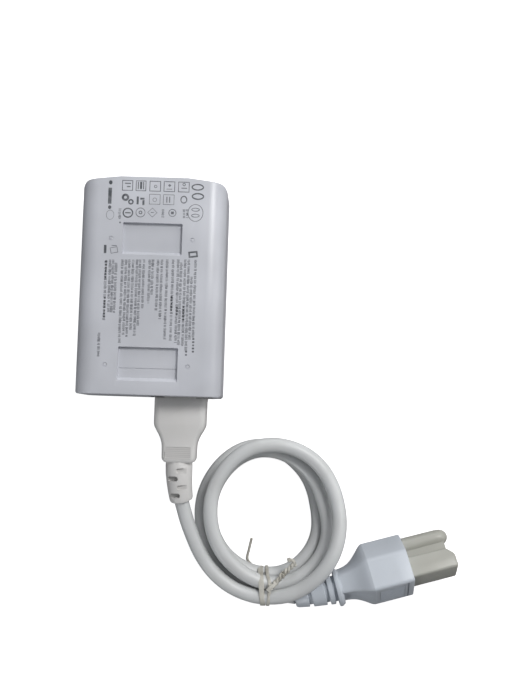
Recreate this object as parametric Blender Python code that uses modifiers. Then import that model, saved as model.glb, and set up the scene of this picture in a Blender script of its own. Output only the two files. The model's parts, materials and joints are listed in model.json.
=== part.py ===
"""A compact power-over-Ethernet injector with its mains lead plugged in, lying label side up.

The frame is the case's own: the origin is under the middle of the case on the surface it rests on,
+Y runs towards the two network ports, -Y towards the mains inlet, and +Z up through the label face.
"""

import math

import bmesh
import bpy
from mathutils import Matrix, Vector

MM = 0.001
GAP = 0.3  # between pieces that touch

# Case, in millimetres
CASE_WIDTH = 63.0
CASE_LENGTH = 94.0
CASE_HEIGHT = 36.0
CASE_WALL = 2.2
SIDE_ROUND = 8.0
SHOULDER_X = 14.5
SHOULDER_DROP = 2.0
PORT_CORNER = 3.5
MAINS_CORNER = 1.5
SEAM_HEIGHT = 18.0
POCKETS = ((12.2, 26.9), (-41.9, -26.6))
POCKET_HALF = 12.75
POCKET_DEPTH = 1.8
DIMPLES = ((-17.5, 19.6), (17.5, 19.6), (-17.5, -34.2), (17.5, -34.2))

# Board and the parts that stand on it
BOARD_BOTTOM = 5.0
BOARD_THICK = 1.6
BOARD_TOP = BOARD_BOTTOM + BOARD_THICK + GAP
BOSSES = ((-24.5, -34.0), (-24.5, 38.0), (24.5, -24.0), (24.5, 38.0))
LENS_Y = 24.0

# Mains inlet and the connector in it
INLET_X = 13.5
INLET_Z = 17.5
INLET_SIZE = (27.4, 19.8, 20.0)
CONNECTOR_SIZE = (23.4, 15.4)
CONNECTOR_FRONT = -31.0
CONNECTOR_BACK = -76.5
PIN_PLACES = {"line": (-7.0, -2.0), "neutral": (7.0, -2.0), "earth": (0.0, 2.0)}
PIN_SIZE = (2.0, 4.0)
PIN_TAIL = -25.0
SLEEVE_WALL = 0.5

# Network ports
JACK_SIZE = (31.0, 18.2, 13.5)
JACK_FRONT = 46.4
PORT_X = (-7.6, 7.6)
PORT_CLEAR = (11.9, 13.0, 8.4)

# Mains plug, in its own frame: X along the pins, Z from pin to pin, Y towards the earth pin
PLUG_ORIGIN = (118.0, -126.5)
PLUG_AZIMUTH = math.radians(16.0)
PLUG_ROLL = math.radians(24.2)
PLUG_HALF = 12.4
PLUG_SIDE = 12.5
PLUG_NOSE_HALF = 5.5
PLUG_TOP = 23.3
PLUG_STRAIGHT = 17.5
PLUG_AXIS_Y = 8.0
BLADE_Y = 6.5
BLADE_SPACING = 12.7
EARTH_OFFSET = 11.9
COVER_LENGTH = 20.5

# Cord
CORD = 6.4
RELIEF_END = (15.3, -93.7, 15.0)
LEAD_IN = ((15.4, -94.1, 14.9), (16.0, -97.0, 14.0), (16.9, -100.2, 13.3), (18.2, -103.2, 12.7))
COIL_CENTRE = (54.0, -99.5)
COIL_INNER = 22.0
COIL_OUTER = 34.0
COIL_STRETCH = (0.97, 1.06)
COIL_HEIGHTS = (1.4, 18.0)
TAIL_DROP = 5.0
RELIEF_START = 34.4
RELIEF_STOP = 52.0
LEAD_OUT = ((65.5, -133.7, 8.1), (62.4, -134.1, 6.5), (59.0, -133.6, 5.2), (55.6, -132.6, 4.4))
TIE_X = 52.5
TIE_WIRE = 0.8


def clear_scene():
    for obj in list(bpy.data.objects):
        bpy.data.objects.remove(obj, do_unlink=True)


def new_collection(name):
    collection = bpy.data.collections.new(name)
    bpy.context.scene.collection.children.link(collection)
    return collection


clear_scene()
PARTS = new_collection("poe_injector")
CUTTERS = new_collection("cutters")


# ---------------------------------------------------------------- helpers


def place(obj, collection):
    for owner in list(obj.users_collection):
        owner.objects.unlink(obj)
    collection.objects.link(obj)
    return obj


def finish(obj, name, colour, roughness=0.5, metallic=0.0):
    """Name an object as a part and give it a material of its own."""
    obj.name = name
    place(obj, PARTS)
    material = bpy.data.materials.new(name)
    material.use_nodes = True
    shader = material.node_tree.nodes["Principled BSDF"]
    shader.inputs["Base Color"].default_value = (*colour, 1.0)
    shader.inputs["Roughness"].default_value = roughness
    shader.inputs["Metallic"].default_value = metallic
    obj.data.materials.clear()
    obj.data.materials.append(material)
    return obj


def make_cutter(obj, name="cutter"):
    obj.name = name
    obj.hide_render = True
    obj.display_type = "WIRE"
    return place(obj, CUTTERS)


def box(low, high):
    """A box between two corners given in millimetres."""
    bpy.ops.mesh.primitive_cube_add(size=1.0)
    obj = bpy.context.object
    low = Vector(low) * MM
    high = Vector(high) * MM
    obj.data.transform(Matrix.Diagonal((high - low).to_4d()))
    obj.data.transform(Matrix.Translation((low + high) / 2))
    return obj


def upright_cylinder(radius, low, high, x, y, sides=24):
    bpy.ops.mesh.primitive_cylinder_add(vertices=sides, radius=radius * MM, depth=(high - low) * MM)
    obj = bpy.context.object
    obj.data.transform(Matrix.Translation(Vector((x, y, (low + high) / 2)) * MM))
    return obj


def bevel(obj, width, segments=2, angle=40.0):
    modifier = obj.modifiers.new("bevel", "BEVEL")
    modifier.width = width * MM
    modifier.segments = segments
    modifier.limit_method = "ANGLE"
    modifier.angle_limit = math.radians(angle)
    return obj


def boolean(obj, tool, operation):
    modifier = obj.modifiers.new(operation.lower(), "BOOLEAN")
    modifier.operation = operation
    modifier.solver = "EXACT"
    modifier.object = tool
    return obj


def cut(obj, tool):
    return boolean(obj, make_cutter(tool), "DIFFERENCE")


def join(obj, tool):
    return boolean(obj, make_cutter(tool, "addition"), "UNION")


def apply_modifiers(obj):
    """Turn an object into the plain mesh that its modifiers make."""
    graph = bpy.context.evaluated_depsgraph_get()
    mesh = bpy.data.meshes.new_from_object(obj.evaluated_get(graph))
    obj.modifiers.clear()
    if obj.type == "CURVE":
        bm = bmesh.new()
        bm.from_mesh(mesh)
        bmesh.ops.remove_doubles(bm, verts=bm.verts, dist=0.00001)
        bm.to_mesh(mesh)
        bm.free()
        solid = bpy.data.objects.new(obj.name, mesh)
        solid.matrix_world = obj.matrix_world
        bpy.context.scene.collection.objects.link(solid)
        bpy.data.objects.remove(obj, do_unlink=True)
        return solid
    obj.data = mesh
    return obj


def rounded(corners, steps=4):
    """An outline through corners (x, y, radius), with an arc at each corner that has a radius."""
    outline = []
    count = len(corners)
    for i, (x, y, radius) in enumerate(corners):
        here = Vector((x, y))
        before = (Vector(corners[i - 1][:2]) - here).normalized()
        after = (Vector(corners[(i + 1) % count][:2]) - here).normalized()
        if radius == 0:
            outline.append(here)
            continue
        half = before.angle(after) / 2
        middle = here + (before + after).normalized() * (radius / math.sin(half))
        start = here + before * (radius / math.tan(half)) - middle
        stop = here + after * (radius / math.tan(half)) - middle
        sweep = start.angle_signed(stop)
        for k in range(steps + 1):
            turn = Matrix.Rotation(-sweep * k / steps, 2)
            outline.append(middle + turn @ start)
    return outline


def prism(outline, low, high, axis="Z"):
    """A flat outline in millimetres, filled and extruded between two heights along an axis."""
    curve = bpy.data.curves.new("outline", "CURVE")
    curve.dimensions = "2D"
    curve.fill_mode = "BOTH"
    curve.extrude = (high - low) / 2 * MM
    spline = curve.splines.new("POLY")
    spline.points.add(len(outline) - 1)
    for point, corner in zip(spline.points, outline):
        point.co = (corner[0] * MM, corner[1] * MM, 0.0, 1.0)
    spline.use_cyclic_u = True
    obj = bpy.data.objects.new("outline", curve)
    bpy.context.scene.collection.objects.link(obj)
    middle = (low + high) / 2 * MM
    if axis == "Z":
        obj.matrix_world = Matrix.Translation((0.0, 0.0, middle))
    elif axis == "Y":
        obj.matrix_world = Matrix.Translation((0.0, middle, 0.0)) @ Matrix.Rotation(math.pi / 2, 4, "X")
    else:
        turn = Matrix(((0, 0, 1, 0), (1, 0, 0, 0), (0, 1, 0, 0), (0, 0, 0, 1)))
        obj.matrix_world = Matrix.Translation((middle, 0.0, 0.0)) @ turn
    bpy.context.view_layer.update()
    solid = apply_modifiers(obj)
    solid.data.transform(solid.matrix_world)
    solid.matrix_world = Matrix.Identity(4)
    return solid


def turned(profile, x, y, steps=24):
    """A profile of (radius, height) pairs from top to bottom, turned about an upright axis."""
    mesh = bpy.data.meshes.new("profile")
    bm = bmesh.new()
    points = [bm.verts.new((radius * MM, 0.0, height * MM)) for radius, height in profile]
    for a, b in zip(points, points[1:]):
        bm.edges.new((a, b))
    bm.to_mesh(mesh)
    bm.free()
    obj = bpy.data.objects.new("turned", mesh)
    obj.location = (x * MM, y * MM, 0.0)
    modifier = obj.modifiers.new("screw", "SCREW")
    modifier.steps = steps
    modifier.render_steps = steps
    modifier.use_merge_vertices = True
    modifier.merge_threshold = 0.00005
    return place_new(obj)


def place_new(obj):
    bpy.context.scene.collection.objects.link(obj)
    return obj


def loft(rings):
    """A closed solid through rings of points in millimetres, all with the same number of points."""
    bm = bmesh.new()
    loops = [[bm.verts.new(Vector(point) * MM) for point in ring] for ring in rings]
    for first, second in zip(loops, loops[1:]):
        for i in range(len(first)):
            j = (i + 1) % len(first)
            bm.faces.new((first[i], first[j], second[j], second[i]))
    bm.faces.new(loops[0])
    bm.faces.new(loops[-1])
    bmesh.ops.recalc_face_normals(bm, faces=bm.faces)
    mesh = bpy.data.meshes.new("loft")
    bm.to_mesh(mesh)
    bm.free()
    return place_new(bpy.data.objects.new("loft", mesh))


def smooth_route(points, pieces=3):
    """Points on a smooth curve through the given ones, with so many pieces from each to the next."""
    points = [Vector(point) for point in points]
    line = []
    ends = [2 * points[0] - points[1], *points, 2 * points[-1] - points[-2]]
    for a, b, c, d in zip(ends, ends[1:], ends[2:], ends[3:]):
        for k in range(pieces):
            t = k / pieces
            bend = (2 * a - 5 * b + 4 * c - d) * t * t + (3 * b - a - 3 * c + d) * t * t * t
            line.append(b + ((c - a) * t + bend) / 2)
    line.append(points[-1])
    return line


def tube(points, diameter, closed=False):
    """A round bar along points in millimetres."""
    curve = bpy.data.curves.new("tube", "CURVE")
    curve.dimensions = "3D"
    curve.bevel_depth = diameter / 2 * MM
    curve.bevel_resolution = 2
    curve.use_fill_caps = not closed
    spline = curve.splines.new("POLY")
    spline.points.add(len(points) - 1)
    for point, where in zip(spline.points, points):
        point.co = (*(Vector(where) * MM), 1.0)
    spline.use_cyclic_u = closed
    return place_new(bpy.data.objects.new("tube", curve))


def ring(middle, along, radius, sides):
    """Points round a circle that is square to a direction."""
    side = along.cross(Vector((0, 0, 1))).normalized()
    up = side.cross(along).normalized()
    angles = [2 * math.pi * i / sides for i in range(sides)]
    return [middle + (side * math.cos(a) + up * math.sin(a)) * radius for a in angles]


def rings_along(route, stops, radii, sides=14):
    """Rings square to a route, which is a function from a stop to a point, one for each stop."""
    step = 0.01 * (stops[-1] - stops[0])
    rings = []
    for stop, radius in zip(stops, radii):
        along = (route(stop + step) - route(stop - step)).normalized()
        rings.append(ring(route(stop), along, radius, sides))
    return rings


def evenly(start, stop, count):
    return [start + (stop - start) * k / (count - 1) for k in range(count)]


# ---------------------------------------------------------------- case


def case_form(inset):
    """The case's outer form, or the same form set in by a wall's thickness."""
    half = CASE_WIDTH / 2 - inset
    low = inset
    high = CASE_HEIGHT - inset
    corner = SIDE_ROUND - inset
    section = rounded(
        [(half, low, corner), (half, high, corner), (-half, high, corner), (-half, low, corner)], 6
    )
    back = -CASE_LENGTH / 2 + inset
    front = CASE_LENGTH / 2 - inset
    side = front - SHOULDER_DROP
    plan = rounded(
        [
            (-half, back, MAINS_CORNER),
            (half, back, MAINS_CORNER),
            (half, side, PORT_CORNER),
            (SHOULDER_X, front, 0),
            (-SHOULDER_X, front, 0),
            (-half, side, PORT_CORNER),
        ]
    )
    form = prism(section, -CASE_LENGTH, CASE_LENGTH, "Y")
    boolean(form, make_cutter(prism(plan, -CASE_HEIGHT, 2 * CASE_HEIGHT), "plan"), "INTERSECT")
    return apply_modifiers(form)


def inlet_outline(grow):
    """The inlet's six-sided outline, with its two cut corners on the earth side."""
    half = CONNECTOR_SIZE[0] / 2 + grow
    low = INLET_Z - CONNECTOR_SIZE[1] / 2 - grow
    high = INLET_Z + CONNECTOR_SIZE[1] / 2 + grow
    slant = 4.5
    return [
        (INLET_X - half, low),
        (INLET_X + half, low),
        (INLET_X + half, high - slant),
        (INLET_X + half - slant, high),
        (INLET_X - half + slant, high),
        (INLET_X - half, high - slant),
    ]


def upright(outline, y):
    """Points of an outline in X and Z, stood up at a place along Y."""
    return [(x, y, z) for x, z in outline]


def case_openings(shell):
    """Cut the mains opening and the port opening through a shell's ends."""
    width, height, _ = INLET_SIZE
    reach = CASE_LENGTH / 2 + 2
    low = (INLET_X - width / 2 - GAP, -reach, INLET_Z - height / 2 - GAP)
    high = (INLET_X + width / 2 + GAP, -reach + 6, INLET_Z + height / 2 + GAP)
    cut(shell, box(low, high))
    wide = JACK_SIZE[0] / 2 + GAP
    cut(shell, box((-wide, reach - 6, BOARD_TOP - GAP), (wide, reach, BOARD_TOP + JACK_SIZE[2] + GAP)))


def base_shell():
    shell = case_form(0.0)
    cut(shell, case_form(CASE_WALL))
    cut(shell, box((-60, -60, SEAM_HEIGHT - GAP / 2), (60, 60, 60)))
    case_openings(shell)
    for x, y in BOSSES:
        join(shell, upright_cylinder(2.4, CASE_WALL - 0.5, BOARD_BOTTOM - GAP, x, y, 16))
    cut(shell, upright_cylinder(1.5, -1, CASE_WALL + 1, 0, LENS_Y, 16))
    return finish(apply_modifiers(shell), "base_shell", (0.80, 0.81, 0.84), 0.38)


def label_shell():
    shell = case_form(0.0)
    cavity = case_form(CASE_WALL)
    for low, high in POCKETS:
        pad = POCKET_HALF + 2.0
        floor = CASE_HEIGHT - POCKET_DEPTH - 2.0
        cut(cavity, box((-pad, low - 2.0, floor), (pad, high + 2.0, CASE_HEIGHT)))
    cut(shell, apply_modifiers(cavity))
    cut(shell, box((-60, -60, -10), (60, 60, SEAM_HEIGHT + GAP / 2)))
    for low, high in POCKETS:
        floor = CASE_HEIGHT - POCKET_DEPTH
        cut(shell, box((-POCKET_HALF, low, floor), (POCKET_HALF, high, CASE_HEIGHT + 1)))
    for x, y in DIMPLES:
        cut(shell, upright_cylinder(1.0, CASE_HEIGHT - 0.8, CASE_HEIGHT + 1, x, y, 12))
    case_openings(shell)
    return finish(apply_modifiers(shell), "label_shell", (0.80, 0.81, 0.84), 0.38)


def status_lens():
    profile = [(0, 2.9), (2.0, 2.9), (2.0, 2.5), (1.2, 2.5), (1.2, 0.2), (0, 0.2)]
    return finish(turned(profile, 0, LENS_Y, 16), "status_lens", (0.9, 0.95, 1.0), 0.2)


# ---------------------------------------------------------------- mains inlet and ports


def inlet_body():
    width, height, depth = INLET_SIZE
    front = -CASE_LENGTH / 2 + 0.3
    body = box(
        (INLET_X - width / 2, front, INLET_Z - height / 2),
        (INLET_X + width / 2, front + depth, INLET_Z + height / 2),
    )
    mouth = inlet_outline(0.4)
    cut(body, loft([upright(mouth, front - 1), upright(mouth, CONNECTOR_FRONT + 0.5)]))
    for x, z in PIN_PLACES.values():
        wide = PIN_SIZE[0] / 2 + GAP
        high = PIN_SIZE[1] / 2 + GAP
        low_corner = (INLET_X + x - wide, -35, INLET_Z + z - high)
        cut(body, box(low_corner, (INLET_X + x + wide, 0, INLET_Z + z + high)))
    return finish(body, "inlet_body", (0.06, 0.06, 0.065), 0.5)


def inlet_pin(name, x, z):
    """A flat pin that comes through the inlet's back and turns down to the board."""
    tail = PIN_TAIL
    low = INLET_Z + z - PIN_SIZE[1] / 2
    high = INLET_Z + z + PIN_SIZE[1] / 2
    outline = [
        (-44.5, low + 0.6),
        (-43.9, low),
        (tail, low),
        (tail, BOARD_TOP),
        (tail + 1.6, BOARD_TOP),
        (tail + 1.6, high),
        (-43.9, high),
        (-44.5, high - 0.6),
    ]
    middle = INLET_X + x
    pin = prism(outline, middle - PIN_SIZE[0] / 2, middle + PIN_SIZE[0] / 2, "X")
    return finish(pin, f"inlet_pin_{name}", (0.78, 0.77, 0.74), 0.28, 1.0)


def jack_shield():
    width, depth, height = JACK_SIZE
    back = JACK_FRONT - depth
    shield = box((-width / 2, back, BOARD_TOP), (width / 2, JACK_FRONT, BOARD_TOP + height))
    inner = width / 2 - 0.4
    inner_top = BOARD_TOP + height - 0.4
    cut(shield, box((-inner, back + 0.4, 0), (inner, JACK_FRONT - 0.4, inner_top)))
    for x in PORT_X:
        half = PORT_CLEAR[0] / 2
        low = (x - half, JACK_FRONT - 2, BOARD_TOP + 1.6)
        cut(shield, box(low, (x + half, JACK_FRONT + 1, BOARD_TOP + 1.6 + PORT_CLEAR[2])))
    return finish(shield, "jack_shield", (0.72, 0.72, 0.71), 0.3, 1.0)


def port_insert(name, x):
    front = JACK_FRONT - 0.4 - GAP
    back = JACK_FRONT - JACK_SIZE[1] + 0.4 + GAP
    half = (JACK_SIZE[0] / 2 - 0.4 - 2 * GAP) / 2
    bottom = BOARD_TOP
    body = box((x - half + 0.25, back, bottom), (x + half - 0.25, front, bottom + JACK_SIZE[2] - 0.4 - GAP))
    low = bottom + 1.6
    wide = PORT_CLEAR[0] / 2
    cut(body, box((x - wide, front - PORT_CLEAR[1], low), (x + wide, front + 1, low + PORT_CLEAR[2])))
    cut(body, box((x - 3.2, front - 9, low - 1.0), (x + 3.2, front + 1, low + 1.0)))
    return finish(body, name, (0.05, 0.05, 0.055), 0.45)


def contact_comb(name, x):
    """Eight spring contacts on one carrier bar, sloping down into the port."""
    pitch = 1.02
    finger = 0.45
    top = BOARD_TOP + 1.6 + PORT_CLEAR[2] - 0.6
    outline = [(4.6, 10.6), (4.6, 11.8), (-4.6, 11.8), (-4.6, 10.6)]
    for k in range(8):
        middle = (k - 3.5) * pitch
        outline += [
            (middle - finger / 2, 10.6),
            (middle - finger / 2, 3.2),
            (middle + finger / 2, 3.2),
            (middle + finger / 2, 10.6),
        ]
    comb = prism(outline, 0.0, 0.3)
    comb.data.transform(Matrix.Translation(Vector((0, -11.8, 0)) * MM))
    comb.data.transform(Matrix.Rotation(math.radians(12), 4, "X"))
    comb.data.transform(Matrix.Rotation(math.pi, 4, "Z"))
    comb.data.transform(Matrix.Translation(Vector((x, JACK_FRONT - 12.9, top - 0.2)) * MM))
    return finish(comb, name, (0.83, 0.68, 0.36), 0.25, 1.0)


# ---------------------------------------------------------------- board and its parts


def main_board():
    board = box((-27.0, -44.0, BOARD_BOTTOM), (27.0, 41.5, BOARD_BOTTOM + BOARD_THICK))
    return finish(bevel(board, 1.0, 1), "main_board", (0.05, 0.25, 0.12), 0.5)


def insulation_sheet():
    sheet = box((-21.0, -43.5, 3.2), (21.0, 43.0, 3.6))
    cut(sheet, upright_cylinder(4.0, 2, 5, 0, LENS_Y, 16))
    return finish(sheet, "insulation_sheet", (0.85, 0.82, 0.70), 0.6)


def wound_part(name, low, high, leg, rim, colour):
    """A ferrite core with two windows, and a winding on its middle leg."""
    (x0, y0, z0), (x1, y1, z1) = low, high
    overhang = (y1 - y0) * 0.14
    core = box((x0, y0 + overhang, z0), (x1, y1 - overhang, z1))
    middle = (x0 + x1) / 2
    for near, far in ((x0 + rim, middle - leg / 2), (middle + leg / 2, x1 - rim)):
        cut(core, box((near, y0 - 1, z0 + rim), (far, y1 + 1, z1 - rim)))
    winding = box(
        (x0 + rim + GAP, y0, z0 + rim + GAP), (x1 - rim - GAP, y1, z1 - rim - GAP)
    )
    clear = leg / 2 + GAP
    hole_low = (middle - clear, y0 + overhang - GAP, z0 - 1)
    cut(winding, box(hole_low, (middle + clear, y1 - overhang + GAP, z1 + 1)))
    finish(core, f"{name}_core", (0.12, 0.12, 0.13), 0.7)
    finish(winding, f"{name}_winding", colour, 0.45)


def capacitor(name, radius, height, x, y):
    """An electrolytic can with a rolled groove near its base."""
    low = BOARD_TOP
    groove = low + height * 0.14
    profile = [
        (0, low + height),
        (radius - 0.8, low + height),
        (radius, low + height - 0.8),
        (radius, groove + 0.8),
        (radius - 0.5, groove),
        (radius, groove - 0.8),
        (radius, low),
        (0, low),
    ]
    return finish(turned(profile, x, y, 20), name, (0.04, 0.05, 0.12), 0.35)


def block(name, low, high, colour, roughness=0.5, metallic=0.0, edge=0.4):
    return finish(bevel(box(low, high), edge, 1), name, colour, roughness, metallic)


def disc(name, radius, thick, x, y, colour):
    """A coated disc standing on its edge, facing along Y."""
    body = upright_cylinder(radius, -thick / 2, thick / 2, 0, 0, 20)
    body.data.transform(Matrix.Rotation(math.pi / 2, 4, "X"))
    body.data.transform(Matrix.Translation(Vector((x, y, BOARD_TOP + radius)) * MM))
    return finish(bevel(body, thick * 0.25, 1), name, colour, 0.4)


def heatsink():
    sink = box((24.4, -22.0, BOARD_TOP), (25.9, -3.0, 27.0))
    join(sink, box((20.5, -22.0, 25.5), (25.6, -3.0, 27.0)))
    return finish(sink, "heatsink", (0.75, 0.76, 0.78), 0.35, 1.0)


def board_parts():
    top = BOARD_TOP
    block("fuse", (-10.8, -42.3, top), (-2.4, -34.3, top + 8.0), (0.10, 0.10, 0.10), 0.4, 0.0, 1.0)
    disc("surge_disc", 5.0, 4.0, -20.0, -38.0, (0.10, 0.22, 0.50))
    block("suppression_capacitor", (-27.5, -31.5, top), (-10.0, -23.0, top + 14.0), (0.75, 0.62, 0.10), 0.4)
    block("bridge_rectifier", (-7.5, -33.0, top), (-3.6, -23.0, top + 13.0), (0.05, 0.05, 0.05), 0.5)
    wound_part("choke", (-28.0, -21.0, top), (-12.0, -8.0, top + 16.0), 4.4, 2.8, (0.72, 0.36, 0.14))
    capacitor("input_capacitor", 8.0, 22.0, -1.0, -14.0)
    heatsink()
    block("switch_transistor", (19.4, -18.0, top), (24.1, -8.0, top + 14.0), (0.05, 0.05, 0.05), 0.5)
    wound_part("transformer", (-4.5, -4.0, top), (21.5, 15.0, top + 20.0), 7.0, 4.0, (0.85, 0.70, 0.20))
    capacitor("output_capacitor_a", 4.0, 14.0, -22.0, 0.0)
    capacitor("output_capacitor_b", 4.0, 14.0, -11.5, 0.0)
    disc("bridging_capacitor", 3.8, 3.4, -12.0, 11.0, (0.12, 0.30, 0.62))
    block("data_transformer", (-8.0, 18.0, top), (8.0, 26.0, top + 7.0), (0.07, 0.07, 0.07), 0.5)
    block("controller_chip", (-22.0, 16.0, top), (-15.0, 22.0, top + 1.7), (0.05, 0.05, 0.05), 0.5)
    low = BOARD_BOTTOM - GAP - 1.2
    led_low = (-1.6, LENS_Y - 0.8, low)
    led_high = (1.6, LENS_Y + 0.8, low + 1.2)
    block("status_led", led_low, led_high, (0.9, 0.9, 0.8), 0.4, 0.0, 0.1)


# ---------------------------------------------------------------- mains lead, injector end


def connector_section(width, height, y, drop=0.0):
    """Twelve points round a connector section with soft corners."""
    soft = min(width, height) * 0.2
    half_x = width / 2
    half_z = height / 2
    corners = ((half_x, half_z), (-half_x, half_z), (-half_x, -half_z), (half_x, -half_z))
    points = []
    for x, z in corners:
        step_x = math.copysign(soft, x)
        step_z = math.copysign(soft, z)
        ends = [(x, z - step_z), (x - step_x * 0.3, z - step_z * 0.3), (x - step_x, z)]
        if x * z < 0:
            ends.reverse()
        points += ends
    return [(INLET_X + x, y, INLET_Z - drop + z) for x, z in points]


def connector_body():
    wide, high = CONNECTOR_SIZE
    shape = loft(
        [
            connector_section(wide, high, CASE_LENGTH / -2 - 0.5),
            connector_section(wide, high, -58.4),
            connector_section(15.6, 13.4, -68.2),
            connector_section(15.2, 13.2, -74.6),
            connector_section(11.8, 11.4, CONNECTOR_BACK),
        ]
    )
    nose = inlet_outline(0.0)
    join(shape, loft([upright(nose, CONNECTOR_FRONT), upright(nose, CASE_LENGTH / -2 - 2.0)]))
    for x, z in PIN_PLACES.values():
        wide = PIN_SIZE[0] / 2 + 2 * GAP + SLEEVE_WALL
        high = PIN_SIZE[1] / 2 + 2 * GAP + SLEEVE_WALL
        low_corner = (INLET_X + x - wide, -49.0, INLET_Z + z - high)
        cut(shape, box(low_corner, (INLET_X + x + wide, -20, INLET_Z + z + high)))
    return finish(apply_modifiers(shape), "connector_body", (0.74, 0.74, 0.75), 0.45)


def contact_sleeve(name, x, z):
    wide = PIN_SIZE[0] / 2 + GAP
    high = PIN_SIZE[1] / 2 + GAP
    middle = Vector((INLET_X + x, 0, INLET_Z + z))
    wall = Vector((wide + SLEEVE_WALL, 0, high + SLEEVE_WALL))
    inner = Vector((wide, 0, high))
    sleeve = box(middle - wall + Vector((0, -48.6, 0)), middle + wall + Vector((0, -32.0, 0)))
    cut(sleeve, box(middle - inner + Vector((0, -60, 0)), middle + inner + Vector((0, -20, 0))))
    return finish(sleeve, f"contact_sleeve_{name}", (0.80, 0.66, 0.36), 0.3, 1.0)


def connector_relief_point(share):
    """The middle of the connector's strain relief, straight out at first and then sagging."""
    start = Vector((INLET_X, CONNECTOR_BACK - GAP, INLET_Z))
    reach = Vector(RELIEF_END) - start
    return start + Vector((reach.x * share * abs(share), reach.y * share, reach.z * share * abs(share)))


def connector_relief():
    radii = [5.9, 5.8, 5.6, 5.4, 5.2, 5.1]
    shape = loft(rings_along(connector_relief_point, evenly(0.0, 1.0, len(radii)), radii))
    return finish(shape, "connector_relief", (0.74, 0.74, 0.75), 0.45)


# ---------------------------------------------------------------- mains lead, plug end


def plug_matrix():
    """From the plug's own frame to the object's."""
    low = PLUG_HALF * math.cos(PLUG_ROLL) + PLUG_SIDE * math.sin(PLUG_ROLL)
    move = Matrix.Translation(Vector((*PLUG_ORIGIN, low + 0.1)) * MM)
    return move @ Matrix.Rotation(PLUG_AZIMUTH, 4, "Z") @ Matrix.Rotation(-PLUG_ROLL, 4, "X")


PLUG_FRAME = plug_matrix()


def plug_point(x, y=PLUG_AXIS_Y, z=0.0):
    """A point of the plug's own frame, in millimetres of the object's frame."""
    return PLUG_FRAME @ (Vector((x, y, z)) * MM) / MM


def tail_point(back):
    """The middle of the plug's strain relief, which sags towards its tail."""
    share = max(0.0, (back - RELIEF_START) / (RELIEF_STOP - RELIEF_START))
    return plug_point(-back) - Vector((0, 0, TAIL_DROP * share * share))


def plug_section(x, share):
    """Twelve points round the plug: its six-sided outline, drawn in towards a circle by a share."""
    corners = [
        (0.0, PLUG_HALF),
        (PLUG_SIDE, PLUG_HALF),
        (PLUG_TOP, PLUG_NOSE_HALF),
        (PLUG_TOP, -PLUG_NOSE_HALF),
        (PLUG_SIDE, -PLUG_HALF),
        (0.0, -PLUG_HALF),
    ]
    ring = []
    for (y, z), (next_y, next_z) in zip(corners, corners[1:] + corners[:1]):
        ring += [(y, z), ((y + next_y) / 2, (z + next_z) / 2)]
    points = []
    for y, z in ring:
        out = Vector((y - 10.5, z)).normalized() * 6.9
        points.append(
            (x, y + (PLUG_AXIS_Y + out.x - y) * share, z + (out.y - z) * share)
        )
    return points


def in_plug_frame(obj):
    obj.data.transform(PLUG_FRAME)
    return obj


def plug_body():
    body = loft(
        [
            plug_section(0.0, 0.03),
            plug_section(-0.6, 0.0),
            plug_section(-PLUG_STRAIGHT, 0.0),
            plug_section(-25.5, 0.62),
            plug_section(-30.5, 1.0),
            plug_section(-31.6, 1.0),
        ]
    )
    for side in (-1, 1):
        middle = side * BLADE_SPACING / 2
        cut(body, box((-10, BLADE_Y - 3.5, middle - 1.1), (5, BLADE_Y + 3.5, middle + 1.1)))
    hole = upright_cylinder(2.4 + GAP, -10, 5, 0, 0, 16)
    hole.data.transform(Matrix.Rotation(math.pi / 2, 4, "Y"))
    hole.data.transform(Matrix.Translation(Vector((0, BLADE_Y + EARTH_OFFSET, 0)) * MM))
    cut(body, hole)
    apply_modifiers(body)
    in_plug_frame(body)
    join(body, loft(rings_along(tail_point, [31.2, 31.6, 33.4, 33.8], [8.0, 8.2, 8.2, 7.8], 16)))
    return finish(apply_modifiers(body), "plug_body", (0.72, 0.73, 0.76), 0.42)


def plug_relief():
    radii = [6.4, 6.2, 5.9, 5.6, 5.2, 4.8, 4.5]
    shape = loft(rings_along(tail_point, evenly(RELIEF_START, RELIEF_STOP, len(radii)), radii))
    return finish(shape, "plug_relief", (0.74, 0.74, 0.77), 0.45)


def plug_blade(name, side):
    middle = side * BLADE_SPACING / 2
    blade = box((-9.6, BLADE_Y - 3.15, middle - 0.75), (15.9, BLADE_Y + 3.15, middle + 0.75))
    bevel(blade, 0.4, 1)
    return finish(in_plug_frame(apply_modifiers(blade)), name, (0.80, 0.66, 0.36), 0.25, 1.0)


def plug_earth_pin():
    pin = turned([(0, 18.0), (1.4, 17.4), (2.38, 15.6), (2.38, -9.6), (0, -9.6)], 0, 0, 16)
    pin = apply_modifiers(pin)
    pin.data.transform(Matrix.Rotation(math.pi / 2, 4, "Y"))
    pin.data.transform(Matrix.Translation(Vector((0, BLADE_Y + EARTH_OFFSET, 0)) * MM))
    return finish(in_plug_frame(pin), "pin_earth", (0.80, 0.66, 0.36), 0.25, 1.0)


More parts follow.
